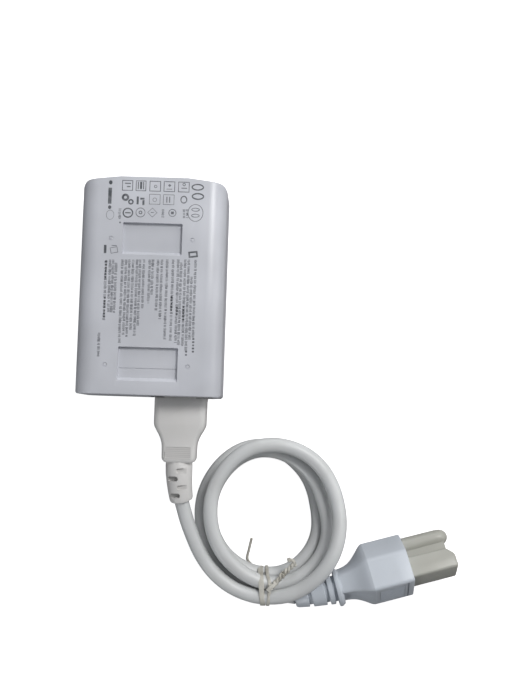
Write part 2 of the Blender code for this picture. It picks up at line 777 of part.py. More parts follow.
def pin_cover():
    """One soft moulding: a flat pocket for each blade and a round one for the earth pin."""
    start = 0.4
    earth_y = BLADE_Y + EARTH_OFFSET
    cover = box((start, 1.9, -8.5), (COVER_LENGTH, 11.1, 8.5))
    bevel(cover, 1.2, 1)
    apply_modifiers(cover)
    join(cover, box((start + 0.6, 10.0, -1.4), (COVER_LENGTH - 3.0, earth_y - 1.0, 1.4)))
    tube_profile = [(0, 20.6), (2.0, 20.0), (3.6, 17.6), (3.7, start), (0, start)]
    barrel = apply_modifiers(turned(tube_profile, 0, 0, 16))
    barrel.data.transform(Matrix.Rotation(math.pi / 2, 4, "Y"))
    barrel.data.transform(Matrix.Translation(Vector((0, earth_y, 0)) * MM))
    join(cover, barrel)
    for side in (-1, 1):
        middle = side * BLADE_SPACING / 2
        cut(cover, box((-5, BLADE_Y - 3.5, middle - 1.1), (16.6, BLADE_Y + 3.5, middle + 1.1)))
    bore = upright_cylinder(2.4 + GAP, -5, 18.5, 0, 0, 16)
    bore.data.transform(Matrix.Rotation(math.pi / 2, 4, "Y"))
    bore.data.transform(Matrix.Translation(Vector((0, earth_y, 0)) * MM))
    cut(cover, bore)
    cut(cover, box((2.5, -1, -3.6), (14.0, 9.0, 3.6)))
    return finish(in_plug_frame(apply_modifiers(cover)), "pin_cover", (0.62, 0.61, 0.54), 0.35)


# ---------------------------------------------------------------- cord, coil and tie


def lead_in_cord():
    cord = tube(smooth_route(LEAD_IN, 2), CORD)
    return finish(cord, "lead_in_cord", (0.76, 0.76, 0.78), 0.4)


def relief_space():
    """Room for the plug's strain relief and the cord that leaves it, taken out of the coil."""
    places = [33.0, 38.0, 44.0, RELIEF_STOP, 54.0]
    space = loft(rings_along(tail_point, places, [9.2, 7.2, 6.4, 5.6, 5.0], 12))
    route = smooth_route(LEAD_OUT, 2)
    route[-1] += (route[-1] - route[-2]).normalized() * GAP
    join(space, apply_modifiers(tube(route, CORD + 3 * GAP)))
    return apply_modifiers(space)


def cord_coil():
    """The outer form of the wound cord, a ring a little longer than it is wide."""
    low, high = COIL_HEIGHTS
    soft = 3.0
    profile = [
        (COIL_INNER, high - soft),
        (COIL_INNER + soft, high),
        (COIL_OUTER - soft, high),
        (COIL_OUTER, high - soft),
        (COIL_OUTER, low + soft),
        (COIL_OUTER - soft, low),
        (COIL_INNER + soft, low),
        (COIL_INNER, low + soft),
        (COIL_INNER, high - soft),
    ]
    ring = turned(profile, *COIL_CENTRE, 40)
    ring.scale = (*COIL_STRETCH, 1.0)
    bpy.context.view_layer.update()
    ring = apply_modifiers(ring)
    ring.data.transform(ring.matrix_world)
    ring.matrix_world = Matrix.Identity(4)
    cut(ring, relief_space())
    return finish(apply_modifiers(ring), "cord_coil", (0.76, 0.76, 0.78), 0.4)


def lead_out_cord():
    cord = tube(smooth_route(LEAD_OUT, 2), CORD)
    return finish(cord, "lead_out_cord", (0.76, 0.76, 0.78), 0.4)


def cord_tie():
    """A soft wire loop round the coil's near side."""
    low, high = COIL_HEIGHTS
    centre_y = COIL_CENTRE[1]
    inner = centre_y - COIL_INNER * COIL_STRETCH[1] + TIE_WIRE / 2 + GAP + 0.1
    outer = centre_y - COIL_OUTER * COIL_STRETCH[1] - TIE_WIRE / 2 - GAP - 0.1
    bottom = low - GAP - TIE_WIRE / 2
    top = high + GAP + TIE_WIRE / 2 + 0.1
    corners = [(outer, bottom, 2.0), (inner, bottom, 2.0), (inner, top, 2.0), (outer, top, 2.0)]
    route = [(TIE_X, y, z) for y, z in rounded(corners, 2)]
    return finish(tube(route, TIE_WIRE, True), "cord_tie", (0.72, 0.69, 0.60), 0.5)


# ---------------------------------------------------------------- assembly


def empty(name, location, parent=None):
    obj = bpy.data.objects.new(name, None)
    obj.empty_display_size = 0.01
    PARTS.objects.link(obj)
    obj.location = Vector(location) * MM
    bpy.context.view_layer.update()
    if parent:
        hold(obj, parent)
    return obj


def hold(obj, parent):
    """Parent an object without moving it."""
    obj.parent = parent
    obj.matrix_parent_inverse = parent.matrix_world.inverted()


def build():
    base_shell()
    label_shell()
    status_lens()
    inlet_body()
    for name, (x, z) in PIN_PLACES.items():
        inlet_pin(name, x, z)
    jack_shield()
    for side, x in zip(("data", "power"), PORT_X):
        port_insert(f"port_insert_{side}", x)
        contact_comb(f"port_contacts_{side}", x)
    main_board()
    insulation_sheet()
    board_parts()

    lead_slide = empty("mains_lead_slide", (INLET_X, -CASE_LENGTH / 2, INLET_Z))
    cover_slide = empty("pin_cover_slide", plug_point(0, BLADE_Y, 0), lead_slide)
    lead = [connector_body(), connector_relief()]
    for name, (x, z) in PIN_PLACES.items():
        lead.append(contact_sleeve(name, x, z))
    lead += [lead_in_cord(), cord_coil(), lead_out_cord(), cord_tie(), plug_body(), plug_relief()]
    lead += [plug_blade("blade_line", -1), plug_blade("blade_neutral", 1), plug_earth_pin()]
    for piece in lead:
        hold(piece, lead_slide)
    hold(pin_cover(), cover_slide)


build()
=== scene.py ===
"""A power-over-Ethernet injector, label side up, with its wound mains lead plugged in."""

import json
import math
import random

import bmesh
import bpy
from mathutils import Matrix, Vector


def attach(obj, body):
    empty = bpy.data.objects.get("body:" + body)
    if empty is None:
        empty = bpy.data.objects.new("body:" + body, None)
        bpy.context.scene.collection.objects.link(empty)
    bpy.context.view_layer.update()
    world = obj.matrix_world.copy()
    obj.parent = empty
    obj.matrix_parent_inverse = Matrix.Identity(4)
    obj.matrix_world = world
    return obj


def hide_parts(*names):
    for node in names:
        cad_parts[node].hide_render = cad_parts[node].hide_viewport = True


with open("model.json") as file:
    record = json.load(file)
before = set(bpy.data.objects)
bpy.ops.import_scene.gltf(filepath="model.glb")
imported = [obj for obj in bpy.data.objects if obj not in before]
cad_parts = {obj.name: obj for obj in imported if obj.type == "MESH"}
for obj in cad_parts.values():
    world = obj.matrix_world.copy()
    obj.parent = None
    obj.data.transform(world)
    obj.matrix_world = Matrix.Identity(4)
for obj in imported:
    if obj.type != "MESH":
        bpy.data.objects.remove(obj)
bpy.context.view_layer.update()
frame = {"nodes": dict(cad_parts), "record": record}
NODES = frame["nodes"]
MM = 0.001

# Camera, in metres and degrees
LENS = 52.05
CAMERA_PLACE = (0.0496, -0.0571, 0.4651)
CAMERA_TURN = (4.11, 0.0, 1.75)

# Case, in millimetres
HALF_WIDTH = 31.5
HALF_LENGTH = 47.0
TOP = 35.97
PRINT_TOP = 36.0
WALL = 2.2
SIDE_ROUND = 8.0
SHOULDER_X = 14.5
SHOULDER_DROP = 2.0
SEAM = 18.0
SEAM_GAP = 0.3
POCKETS = ((12.2, 26.9), (-41.9, -26.6))
POCKET_HALF = 12.75
POCKET_FLOOR = 34.15
DIMPLES = ((-17.7, 19.8), (17.2, 19.9), (-18.2, -34.5), (17.0, -34.4))
BOSSES = ((-24.5, -34.0), (-24.5, 38.0), (24.5, -24.0), (24.5, 38.0))
LENS_Y = 24.0
INLET = (13.5, 17.5)
INLET_SIZE = (28.0, 20.6)
JACK_HALF = 15.8
JACK_HEIGHTS = (6.6, 20.7)

# Connector
CONNECTOR_HALF = 11.3
CONNECTOR_HIGH = 7.7
CONNECTOR_BACK = -58.4
SLEEVE_SPAN = 17.9
BAY = (2.1, 3.1)
PIN_PLACES = ((-7.0, -2.0), (7.0, -2.0), (0.0, 2.0))
RELIEF_FRONT = -76.0
RELIEF_END = (15.3, -93.7, 15.0)

# Plug, in its own frame: X along the pins, Z from pin to pin, Y towards the earth pin
PLUG_PLACE = (118.0, -126.5)
PLUG_AZIMUTH = math.radians(16.0)
PLUG_ROLL = math.radians(24.2)
PLUG_HALF = 12.4
PLUG_SIDE = 12.5
PLUG_TOP = 23.3
PLUG_NOSE = 5.5
PLUG_SWELL = 0.7
PLUG_AXIS = 8.0
NECK = 7.6
GRIP = 17.5
COLLAR = -30.6
# Each step back from the grip, and how far it draws what is left in towards the round neck
TAPER = (
    (0.8, 0.03), (1.2, 0.12), (1.4, 0.22), (1.5, 0.28), (1.6, 0.36), (1.7, 0.45),
    (1.8, 0.52), (1.9, 0.60), (2.1, 1.0),
)
BLADE_Y = 6.5
BLADE_Z = 6.35
EARTH_Y = 18.4
TAIL_ROOT = 33.0
TAIL_SPAN = 17.6
TAIL_START = 34.4
TAIL_STOP = 52.0
TAIL_DROP = 5.0

# Cord: the points its middle passes, from the connector's relief to the coil
CORD = 6.4
CORD_IN = (
    (15.4, -94.1, 14.9), (17.4, -101, 13.2), (20.1, -107.9, 12), (23.2, -114.5, 11.2),
    (27.2, -120.7, 10.6), (32.3, -126.1, 10), (38.4, -130.3, 9.5), (45.3, -133, 9.7),
    (52.5, -134, 10.8),
)
# The coil: how far its middle lies from the coil's centre, and how high, at each eighth of a turn
COIL_CENTRE = (54.0, -98.0)
COIL_START = 283.0
COIL_EIGHTHS = (
    (35.4, 14.6), (32.3, 19.9), (30.3, 16.3), (31.4, 16.1),
    (30.9, 16), (27.6, 16), (25.9, 15.2), (27.2, 11.9),
    (30.5, 9.6), (28.7, 9.3), (24.8, 9.1), (26.5, 9.7),
    (29, 9.6), (27.4, 9.5), (26.4, 8.7), (26.4, 5.4),
    (26.6, 3.5), (24.1, 3.3), (21.7, 3.3), (25.2, 3.3),
    (31.1, 3.3), (30.9, 3.3), (30.6, 3.3),
)
# From the coil to the plug's relief
CORD_OUT = (
    (27.9, -115.5, 3.3), (32.2, -121.5, 3.3), (37.8, -126.3, 3.3), (44.4, -129.7, 3.4),
    (51.5, -131.9, 4), (58.6, -133.3, 5.4), (65.5, -133.7, 8.1),
)
# How far the cord runs on inside each relief
RUN_IN = 4.0
RUN_OUT = 1.2


# ---------------------------------------------------------------- camera and cord


def set_camera():
    data = bpy.data.cameras.new("camera")
    data.sensor_width = 36.0
    data.lens = LENS
    camera = bpy.data.objects.new("camera", data)
    camera.location = CAMERA_PLACE
    camera.rotation_euler = [math.radians(turn) for turn in CAMERA_TURN]
    bpy.context.scene.collection.objects.link(camera)
    bpy.context.scene.camera = camera


def smooth_line(points, pieces):
    """Points on a smooth curve through the given ones, with so many pieces from each to the next."""
    points = [Vector(point) for point in points]
    ends = [2 * points[0] - points[1], *points, 2 * points[-1] - points[-2]]
    line = []
    for a, b, c, d in zip(ends, ends[1:], ends[2:], ends[3:]):
        for k in range(pieces):
            t = k / pieces
            bend = (2 * a - 5 * b + 4 * c - d) * t * t + (3 * b - a - 3 * c + d) * t * t * t
            line.append(b + ((c - a) * t + bend) / 2)
    line.append(points[-1])
    return line


def hold(obj):
    """Select one object and make it the active one."""
    bpy.ops.object.select_all(action="DESELECT")
    obj.select_set(True)
    bpy.context.view_layer.objects.active = obj


def bar_along(name, line, closed, facts):
    """A mesh swept by a curve along points in millimetres, with the curve's own facts."""
    curve = bpy.data.curves.new(name, "CURVE")
    for fact, value in facts.items():
        setattr(curve, fact, value)
    spline = curve.splines.new("POLY")
    spline.points.add(len(line) - 1)
    for point, where in zip(spline.points, line):
        point.co = (*(Vector(where) * MM), 1.0)
    spline.use_cyclic_u = closed
    bar = bpy.data.objects.new(name, curve)
    bpy.context.scene.collection.objects.link(bar)
    hold(bar)
    bpy.ops.object.convert(target="MESH")
    return bar


def round_bar(name, line, diameter, roundness):
    facts = {
        "dimensions": "3D", "bevel_depth": diameter / 2 * MM, "bevel_resolution": roundness,
        "use_fill_caps": True,
    }
    return bar_along(name, line, False, facts)


def coil_turns():
    """The coil's turns, with three points in each eighth of a turn."""
    stops = smooth_line([(radius, height, 0.0) for radius, height in COIL_EIGHTHS], 3)
    turns = []
    for k, (radius, height, _) in enumerate(stops):
        angle = math.radians(COIL_START + 45.0 / 3 * k)
        x = COIL_CENTRE[0] + radius * math.cos(angle)
        turns.append((x, COIL_CENTRE[1] + radius * math.sin(angle), height))
    return turns


def cord_line():
    """The cord's middle, with its two ends run a little way into their reliefs."""
    line = smooth_line([*CORD_IN, *coil_turns(), *CORD_OUT], 4)
    first = line[0] - (line[1] - line[0]).normalized() * RUN_IN
    last = line[-1] + (line[-1] - line[-2]).normalized() * RUN_OUT
    return [first, *line, last]


set_camera()
cord = round_bar("mains_cord", cord_line(), CORD, 7)


# ---------------------------------------------------------------- bench tools


def open_mesh(obj):
    """Go into edit mode with all of one mesh selected."""
    hold(obj)
    bpy.ops.object.mode_set(mode="EDIT")
    bpy.ops.mesh.select_all(action="SELECT")


def close_mesh():
    bpy.ops.object.mode_set(mode="OBJECT")


def settle(name, size=(1.0, 1.0, 1.0)):
    """Give the new primitive its name and size, and put its place into its mesh."""
    obj = bpy.context.object
    obj.name = name
    obj.scale = size
    bpy.ops.object.transform_apply(location=True, rotation=True, scale=True)
    return obj


def cuboid(name, low, high):
    """A box between two corners given in millimetres."""
    bpy.ops.object.select_all(action="DESELECT")
    low = Vector(low) * MM
    high = Vector(high) * MM
    bpy.ops.mesh.primitive_cube_add(size=1.0, location=(low + high) / 2)
    return settle(name, high - low)


def rod(name, radius, start, stop, sides):
    """A cylinder between two points given in millimetres."""
    bpy.ops.object.select_all(action="DESELECT")
    start = Vector(start) * MM
    stop = Vector(stop) * MM
    along = stop - start
    bpy.ops.mesh.primitive_cylinder_add(
        vertices=sides,
        radius=radius * MM,
        depth=along.length,
        location=(start + stop) / 2,
        rotation=along.to_track_quat("Z", "X").to_euler(),
    )
    return settle(name)


def pick(obj, kind, test):
    """In edit mode, select just the corners, edges or faces that pass a test."""
    bpy.ops.mesh.select_mode(type=kind)
    bpy.ops.mesh.select_all(action="DESELECT")
    bm = bmesh.from_edit_mesh(obj.data)
    for item in {"VERT": bm.verts, "EDGE": bm.edges, "FACE": bm.faces}[kind]:
        if test(item):
            item.select_set(True)
    bm.select_flush_mode()
    bmesh.update_edit_mesh(obj.data)


def round_edges(obj, width, segments, test):
    """In edit mode, round the edges that pass a test."""
    pick(obj, "EDGE", test)
    bpy.ops.mesh.bevel(offset=width * MM, segments=segments, affect="EDGES")


def runs_along(edge, axis):
    """Whether an edge is parallel to X, Y or Z, given as 0, 1 or 2."""
    span = edge.verts[1].co - edge.verts[0].co
    return abs(span[axis]) > 0.999 * span.length


def faces_along(face, axis, sign):
    return face.normal[axis] * sign > 0.99


def cut_away(point, outward):
    """In edit mode, cut off what lies past a plane through a point, and close the cut."""
    bpy.ops.mesh.select_all(action="SELECT")
    where = Vector(point) * MM
    bpy.ops.mesh.bisect(plane_co=where, plane_no=outward, use_fill=True, clear_outer=True)


def push(move):
    """Extrude what is selected by a move in metres."""
    bpy.ops.mesh.extrude_region_move(TRANSFORM_OT_translate={"value": move})


def grow(obj, axis, sign, steps, middle):
    """Extrude the end face in steps of (distance, width ratio, height ratio) in millimetres."""
    pick(obj, "FACE", lambda face: faces_along(face, axis, sign))
    where = Vector(middle) * MM
    bm = bmesh.from_edit_mesh(obj.data)
    ends = [v.co[axis] * sign for v in bm.verts]
    where[axis] = max(ends) * sign
    for distance, wide, high in steps:
        move = Vector((0.0, 0.0, 0.0))
        move[axis] = distance * sign * MM
        push(move)
        where += move
        ratio = [wide, high]
        ratio.insert(axis, 1.0)
        if (wide, high) != (1.0, 1.0):
            bpy.ops.transform.resize(value=ratio, center_override=where)


def discard(obj):
    bpy.data.objects.remove(obj, do_unlink=True)


def combine(obj, tool, how="DIFFERENCE"):
    """Cut another solid away from this one, or add it, or keep what both hold."""
    hold(obj)
    modifier = obj.modifiers.new("solid", "BOOLEAN")
    modifier.operation = how
    modifier.solver = "EXACT"
    modifier.object = tool
    bpy.ops.object.modifier_apply(modifier=modifier.name)
    discard(tool)
    return obj


def cut_box(obj, low, high):
    """Cut the box between two corners away from a solid."""
    return combine(obj, cuboid("space", low, high))


def soften(obj, width, segments):
    """Round every sharp edge."""
    hold(obj)
    modifier = obj.modifiers.new("soft_edges", "BEVEL")
    modifier.width = width * MM
    modifier.segments = segments
    modifier.limit_method = "ANGLE"
    modifier.angle_limit = math.radians(35.0)
    modifier.use_clamp_overlap = False
    bpy.ops.object.modifier_apply(modifier=modifier.name)


def smooth(obj, angle):
    """Close up what cutting left apart, and shade the soft corners smooth."""
    open_mesh(obj)
    bpy.ops.mesh.remove_doubles(threshold=0.002 * MM)
    bpy.ops.mesh.dissolve_degenerate(threshold=0.001 * MM)
    close_mesh()
    bpy.ops.object.shade_smooth_by_angle(angle=math.radians(angle))
    return obj


def copy_of(obj, move):
    """A copy with its own mesh, moved by a matrix."""
    twin = obj.copy()
    twin.data = obj.data.copy()
    twin.data.transform(move)
    bpy.context.scene.collection.objects.link(twin)
    return twin


def joined(name, pieces):
    bpy.ops.object.select_all(action="DESELECT")
    for piece in pieces:
        piece.select_set(True)
    bpy.context.view_layer.objects.active = pieces[0]
    bpy.ops.object.join()
    pieces[0].name = name
    return pieces[0]


def reshape(obj, move):
    """Move every corner of a mesh by a function of its place in millimetres."""
    for corner in obj.data.vertices:
        corner.co = Vector(move(corner.co / MM)) * MM
    obj.data.update()
    return obj


def shift(x, y, z):
    return Matrix.Translation(Vector((x, y, z)) * MM)


# ---------------------------------------------------------------- case


def case_block(name, inset):
    """The case's outer form, or the same form set in by a wall's thickness."""
    half = HALF_WIDTH - inset
    end = HALF_LENGTH - inset
    block = cuboid(name, (-half, -end - 5, inset), (half, end + 5, TOP - inset))
    open_mesh(block)
    round_edges(block, SIDE_ROUND - inset, 9, lambda edge: runs_along(edge, 1))
    close_mesh()
    plan = cuboid("plan", (-half, -end, -10), (half, end, 60))
    open_mesh(plan)
    for x in (-SHOULDER_X, SHOULDER_X):
        bpy.ops.mesh.select_all(action="SELECT")
        bpy.ops.mesh.bisect(plane_co=(x * MM, 0.0, 0.0), plane_no=(1.0, 0.0, 0.0))
    pick(plan, "VERT", lambda v: v.co.y > 0 and abs(v.co.x) > (half - 0.1) * MM)
    bpy.ops.transform.translate(value=(0.0, -SHOULDER_DROP * MM, 0.0))
    for sign, radius in ((-1, 1.5), (1, 3.5)):
        round_edges(plan, radius, 5, lambda edge: upright_corner(edge, sign, half))
    close_mesh()
    return combine(block, plan, "INTERSECT")


def upright_corner(edge, sign, half):
    middle = (edge.verts[0].co + edge.verts[1].co) / 2 / MM
    return runs_along(edge, 2) and middle.y * sign > 0 and abs(middle.x) > half - 0.1


def half_case(name, upper):
    """One half of the case, cut at the seam, softened, then hollowed."""
    shell = case_block(name, 0.0)
    side = 1 if upper else -1
    open_mesh(shell)
    cut_away((0.0, 0.0, SEAM + side * SEAM_GAP / 2), (0.0, 0.0, -side))
    close_mesh()
    soften(shell, 0.45, 3)
    cavity = case_block("cavity", WALL)
    if upper:
        for low, high in POCKETS:
            pad = POCKET_HALF + 2.0
            pad_low = (-pad, low - 2.0, POCKET_FLOOR - 2.0)
            cut_box(cavity, pad_low, (pad, high + 2.0, TOP + 1))
    combine(shell, cavity)
    x, z = INLET
    wide, high = INLET_SIZE
    cut_box(shell, (x - wide / 2, -50, z - high / 2), (x + wide / 2, -43, z + high / 2))
    low, high = JACK_HEIGHTS
    return cut_box(shell, (-JACK_HALF, 42, low), (JACK_HALF, 50, high))


def pocket_tool(low, high):
    """A pocket's space, whose floor climbs out at the end nearer the mains inlet."""
    tool = cuboid("pocket", (-POCKET_HALF, low, POCKET_FLOOR), (POCKET_HALF, high, TOP + 1))
    open_mesh(tool)
    pick(tool, "VERT", lambda v: v.co.y < (low + 1) * MM and v.co.z < TOP * MM)
    bpy.ops.transform.translate(value=(0.0, 2.2 * MM, 0.0))
    round_edges(tool, 0.35, 3, lambda edge: runs_along(edge, 2))
    close_mesh()
    return tool


def dimple_tool(x, y):
    """A shallow round mark with a low island in its middle."""
    tool = rod("dimple", 0.95, (x, y, TOP - 0.35), (x, y, TOP + 0.5), 20)
    open_mesh(tool)
    pick(tool, "FACE", lambda face: faces_along(face, 2, -1))
    bpy.ops.mesh.inset(thickness=0.45 * MM, depth=0.0)
    bpy.ops.transform.translate(value=(0.0, 0.0, 0.2 * MM))
    close_mesh()
    return tool


def label_side():
    shell = half_case("label_case", True)
    for low, high in POCKETS:
        combine(shell, pocket_tool(low, high))
    line_y = -35.6
    cut_box(shell, (-12.4, line_y - 0.12, 33.9), (12.4, line_y + 0.12, 34.3))
    for x, y in DIMPLES:
        combine(shell, dimple_tool(x, y))
    return smooth(shell, 28.0)


def floor_side():
    shell = half_case("floor_case", False)
    post = rod("boss", 2.4, (0, 0, WALL - 0.5), (0, 0, 4.7), 20)
    open_mesh(post)
    pick(post, "FACE", lambda face: faces_along(face, 2, 1))
    bpy.ops.mesh.inset(thickness=1.3 * MM, depth=0.0)
    push((0.0, 0.0, -1.5 * MM))
    close_mesh()
    for x, y in BOSSES:
        combine(shell, copy_of(post, shift(x, y, 0)), "UNION")
    discard(post)
    combine(shell, rod("lens_hole", 1.5, (0, LENS_Y, -1), (0, LENS_Y, WALL + 1), 24))
    return smooth(shell, 28.0)


# ---------------------------------------------------------------- print on the label face


def flat_bar(width, length):
    """A thin upright bar of ink about the origin."""
    bpy.ops.object.select_all(action="DESELECT")
    bpy.ops.mesh.primitive_plane_add(size=1.0)
    bar = settle("bar", (width * MM, length * MM, 1.0))
    return thicken_ink(bar)


def thicken_ink(mark):
    open_mesh(mark)
    push((0.0, 0.0, 0.05 * MM))
    bpy.ops.mesh.select_all(action="SELECT")
    bpy.ops.mesh.normals_make_consistent(inside=False)
    close_mesh()
    return mark


def flat_frame(width, length, line):
    """A thin outline of a rectangle about the origin."""
    bpy.ops.object.select_all(action="DESELECT")
    bpy.ops.mesh.primitive_plane_add(size=1.0)
    mark = settle("outline", (width * MM, length * MM, 1.0))
    open_mesh(mark)
    bpy.ops.mesh.inset(thickness=line * MM, depth=0.0)
    bpy.ops.mesh.delete(type="FACE")
    close_mesh()
    return thicken_ink(mark)


def flat_ring(width, length, line, sides=28):
    """A thin oval ring about the origin; a line as thick as the ring's half makes a disc."""
    bpy.ops.object.select_all(action="DESELECT")
    bpy.ops.mesh.primitive_circle_add(vertices=sides, radius=1.0, fill_type="NGON")
    mark = settle("ring", (width / 2 * MM, length / 2 * MM, 1.0))
    if line < min(width, length) / 2:
        open_mesh(mark)
        bpy.ops.mesh.inset(thickness=line * MM, depth=0.0)
        bpy.ops.mesh.delete(type="FACE")
        close_mesh()
    return thicken_ink(mark)


def put_ink(mark, x, y, turn=0.0):
    """Lay a finished mark at its place on the label face."""
    mark.data.transform(Matrix.Rotation(math.radians(turn), 4, "Z"))
    mark.data.transform(shift(x, y, PRINT_TOP - 0.05))
    return mark


# Each sign's shape, its sizes, and its place with any turn
FINE_SIGNS = (
    ("frame", (4.7, 4.6, 0.32), (-11.5, 42.9)), ("frame", (4.5, 4.6, 0.32), (-5.7, 42.9)),
    ("frame", (4.9, 4.6, 0.32), (0.4, 42.9)), ("frame", (4.9, 4.6, 0.32), (6.5, 42.9)),
    ("frame", (4.9, 4.6, 0.32), (12.7, 42.9)), ("frame", (4.8, 4.5, 0.22), (0.4, 37.2)),
    ("frame", (4.8, 4.5, 0.22), (6.4, 37.2)), ("bar", (2.6, 0.5), (-11.4, 43.8)),
    ("bar", (1.6, 0.5), (-11.0, 42.4)), ("ring", (1.4, 1.4, 0.3), (0.6, 42.8)),
    ("bar", (1.0, 1.0), (6.6, 43.4, 45)), ("bar", (2.4, 0.3), (6.5, 41.8)),
    ("bar", (2.4, 0.4), (12.9, 42.4)), ("ring", (1.4, 1.4, 0.3), (12.8, 44.0)),
    ("ring", (1.8, 1.8, 0.2), (0.4, 37.0)), ("bar", (0.5, 2.6), (5.6, 37.2)),
    ("bar", (0.5, 2.6), (6.8, 37.2)), ("ring", (3.0, 3.4, 0.5), (12.9, 37.4)),
    ("ring", (4.2, 4.2, 0.3), (-5.5, 31.3)), ("ring", (1.6, 1.6, 0.4), (-5.5, 31.3)),
    ("frame", (3.0, 3.0, 0.2), (-0.4, 31.4, 45)), ("bar", (1.4, 0.3), (-0.4, 31.4)),
    ("ring", (3.4, 3.4, 0.3), (8.2, 31.5)), ("bar", (1.2, 1.2), (8.2, 31.5)),
    ("ring", (6.7, 7.6, 0.26, 36), (18.1, 31.8)), ("ring", (3.6, 1.6, 0.3), (18.1, 33.2)),
    ("ring", (3.6, 1.6, 0.3), (18.1, 30.6)), ("ring", (3.4, 4.2, 0.16), (-18.5, 29.9)),
    ("ring", (0.8, 0.8, 0.4), (-14.1, 26.7)), ("frame", (3.2, 2.6, 0.25), (-16.2, 14.7, 12)),
    ("bar", (2.2, 0.3), (-16.2, 16.6)),
)
BOLD_SIGNS = (
    ("bar", (1.5, 7.0), (-18.9, 38.2)), ("ring", (1.5, 1.8, 0.9), (-18.8, 44.0)),
    ("ring", (1.4, 1.6, 0.8), (-18.8, 33.2)), ("ring", (3.2, 3.2, 0.95), (-12.2, 37.7)),
    ("ring", (2.4, 2.4, 0.6), (-9.8, 35.8)), ("bar", (0.9, 3.4), (-6.9, 36.5)),
    ("bar", (1.8, 0.8), (-4.9, 37.3)), ("bar", (0.9, 2.2), (-4.4, 35.6)),
    ("ring", (4.6, 4.4, 0.55), (-10.9, 31.0)), ("bar", (2.4, 0.5), (-10.9, 31.0)),
    ("ring", (5.4, 3.0, 0.55), (18.7, 43.0)), ("ring", (5.4, 3.0, 0.55), (18.9, 39.0)),
    ("bar", (1.1, 3.6), (-20.0, 15.0)), ("frame", (4.0, 2.7, 0.75), (17.7, 13.8, 8)),
    ("bar", (0.4, 3.2), (-6.9, 43.0)), ("bar", (0.9, 3.2), (-5.7, 43.0)),
    ("bar", (0.4, 3.2), (-4.6, 43.0)),
)
SHAPES = {"bar": flat_bar, "frame": flat_frame, "ring": flat_ring}


def signs(rows):
    """Plain outlined signs and solid ones, which mean nothing."""
    return [put_ink(SHAPES[shape](*sizes), *place) for shape, sizes, place in rows]


# Each line of small print: its X, and where it starts and stops along Y
TEXT_LINES = (
    (-19.4, 10.0, -15.4), (-17.6, 10.3, -12.5), (-16.4, 10.4, -12.4), (-15.1, 9.0, -12.4),
    (-12.4, 10.5, -25.1), (-10.8, 10.5, -21.7), (-9.4, 10.6, -22.5), (-7.8, 10.6, -19.9),
    (-6.1, 10.7, -22.0), (-4.8, 10.7, -17.7), (-3.2, 10.8, -10.3), (-0.7, 10.8, -7.7),
    (0.6, 10.9, -3.8), (2.8, 10.9, -11.0), (4.5, 11.0, -14.4), (6.8, 11.1, -22.9), (9.3, 11.1, -23.6),
    (11.5, 11.2, -24.4), (12.8, 10.0, -25.2), (14.5, 11.3, -26.0), (16.0, 11.3, -27.6),
    (17.4, 4.0, -23.0), (18.9, 11.3, -22.0), (-21.1, -21.2, -31.4), (4.1, 32.9, 29.6),
    (13.2, 33.0, 29.4), (14.6, 33.0, 29.4), (-14.4, 32.6, 28.0),
)
BOLD_RUNS = (
    (9.2, -5.0, -11.2), (11.7, -9.4, -13.0), (14.4, -8.9, -14.6), (16.2, -28.0, -30.4),
    (19.1, -22.5, -29.0), (-19.4, 9.6, 2.4), (-19.3, -6.0, -15.4),
)


def text_ticks():
    """Short ticks in word-like groups: a stand-in for small print that says nothing."""
    chance = random.Random(41)
    tick = flat_bar(1.0, 0.28)
    fine = []
    for x, start, stop in TEXT_LINES:
        y = start
        while y > stop:
            for _ in range(chance.randint(2, 8)):
                if y <= stop:
                    break
                tall = chance.uniform(0.8, 1.25)
                thick = chance.uniform(0.8, 1.3)
                scale = Matrix.Diagonal((tall, thick, 1.0, 1.0))
                lean = chance.uniform(-0.1, 0.1)
                fine.append(put_ink(copy_of(tick, scale), x + lean, y))
                y -= 0.28 + chance.uniform(0.16, 0.26)
            y -= chance.uniform(0.25, 0.5)
    bold = []
    for x, start, stop in BOLD_RUNS:
        y = start
        while y > stop:
            scale = Matrix.Diagonal((chance.uniform(0.7, 1.0), 2.6, 1.0, 1.0))
            bold.append(put_ink(copy_of(tick, scale), x, y))
            y -= 1.35
    discard(tick)
    return fine, bold


def label_print():
    ticks, dashes = text_ticks()
    fine = joined("label_print_fine", signs(FINE_SIGNS) + ticks)
    bold = joined("label_print_bold", signs(BOLD_SIGNS) + dashes)
    return fine, bold


# ---------------------------------------------------------------- connector


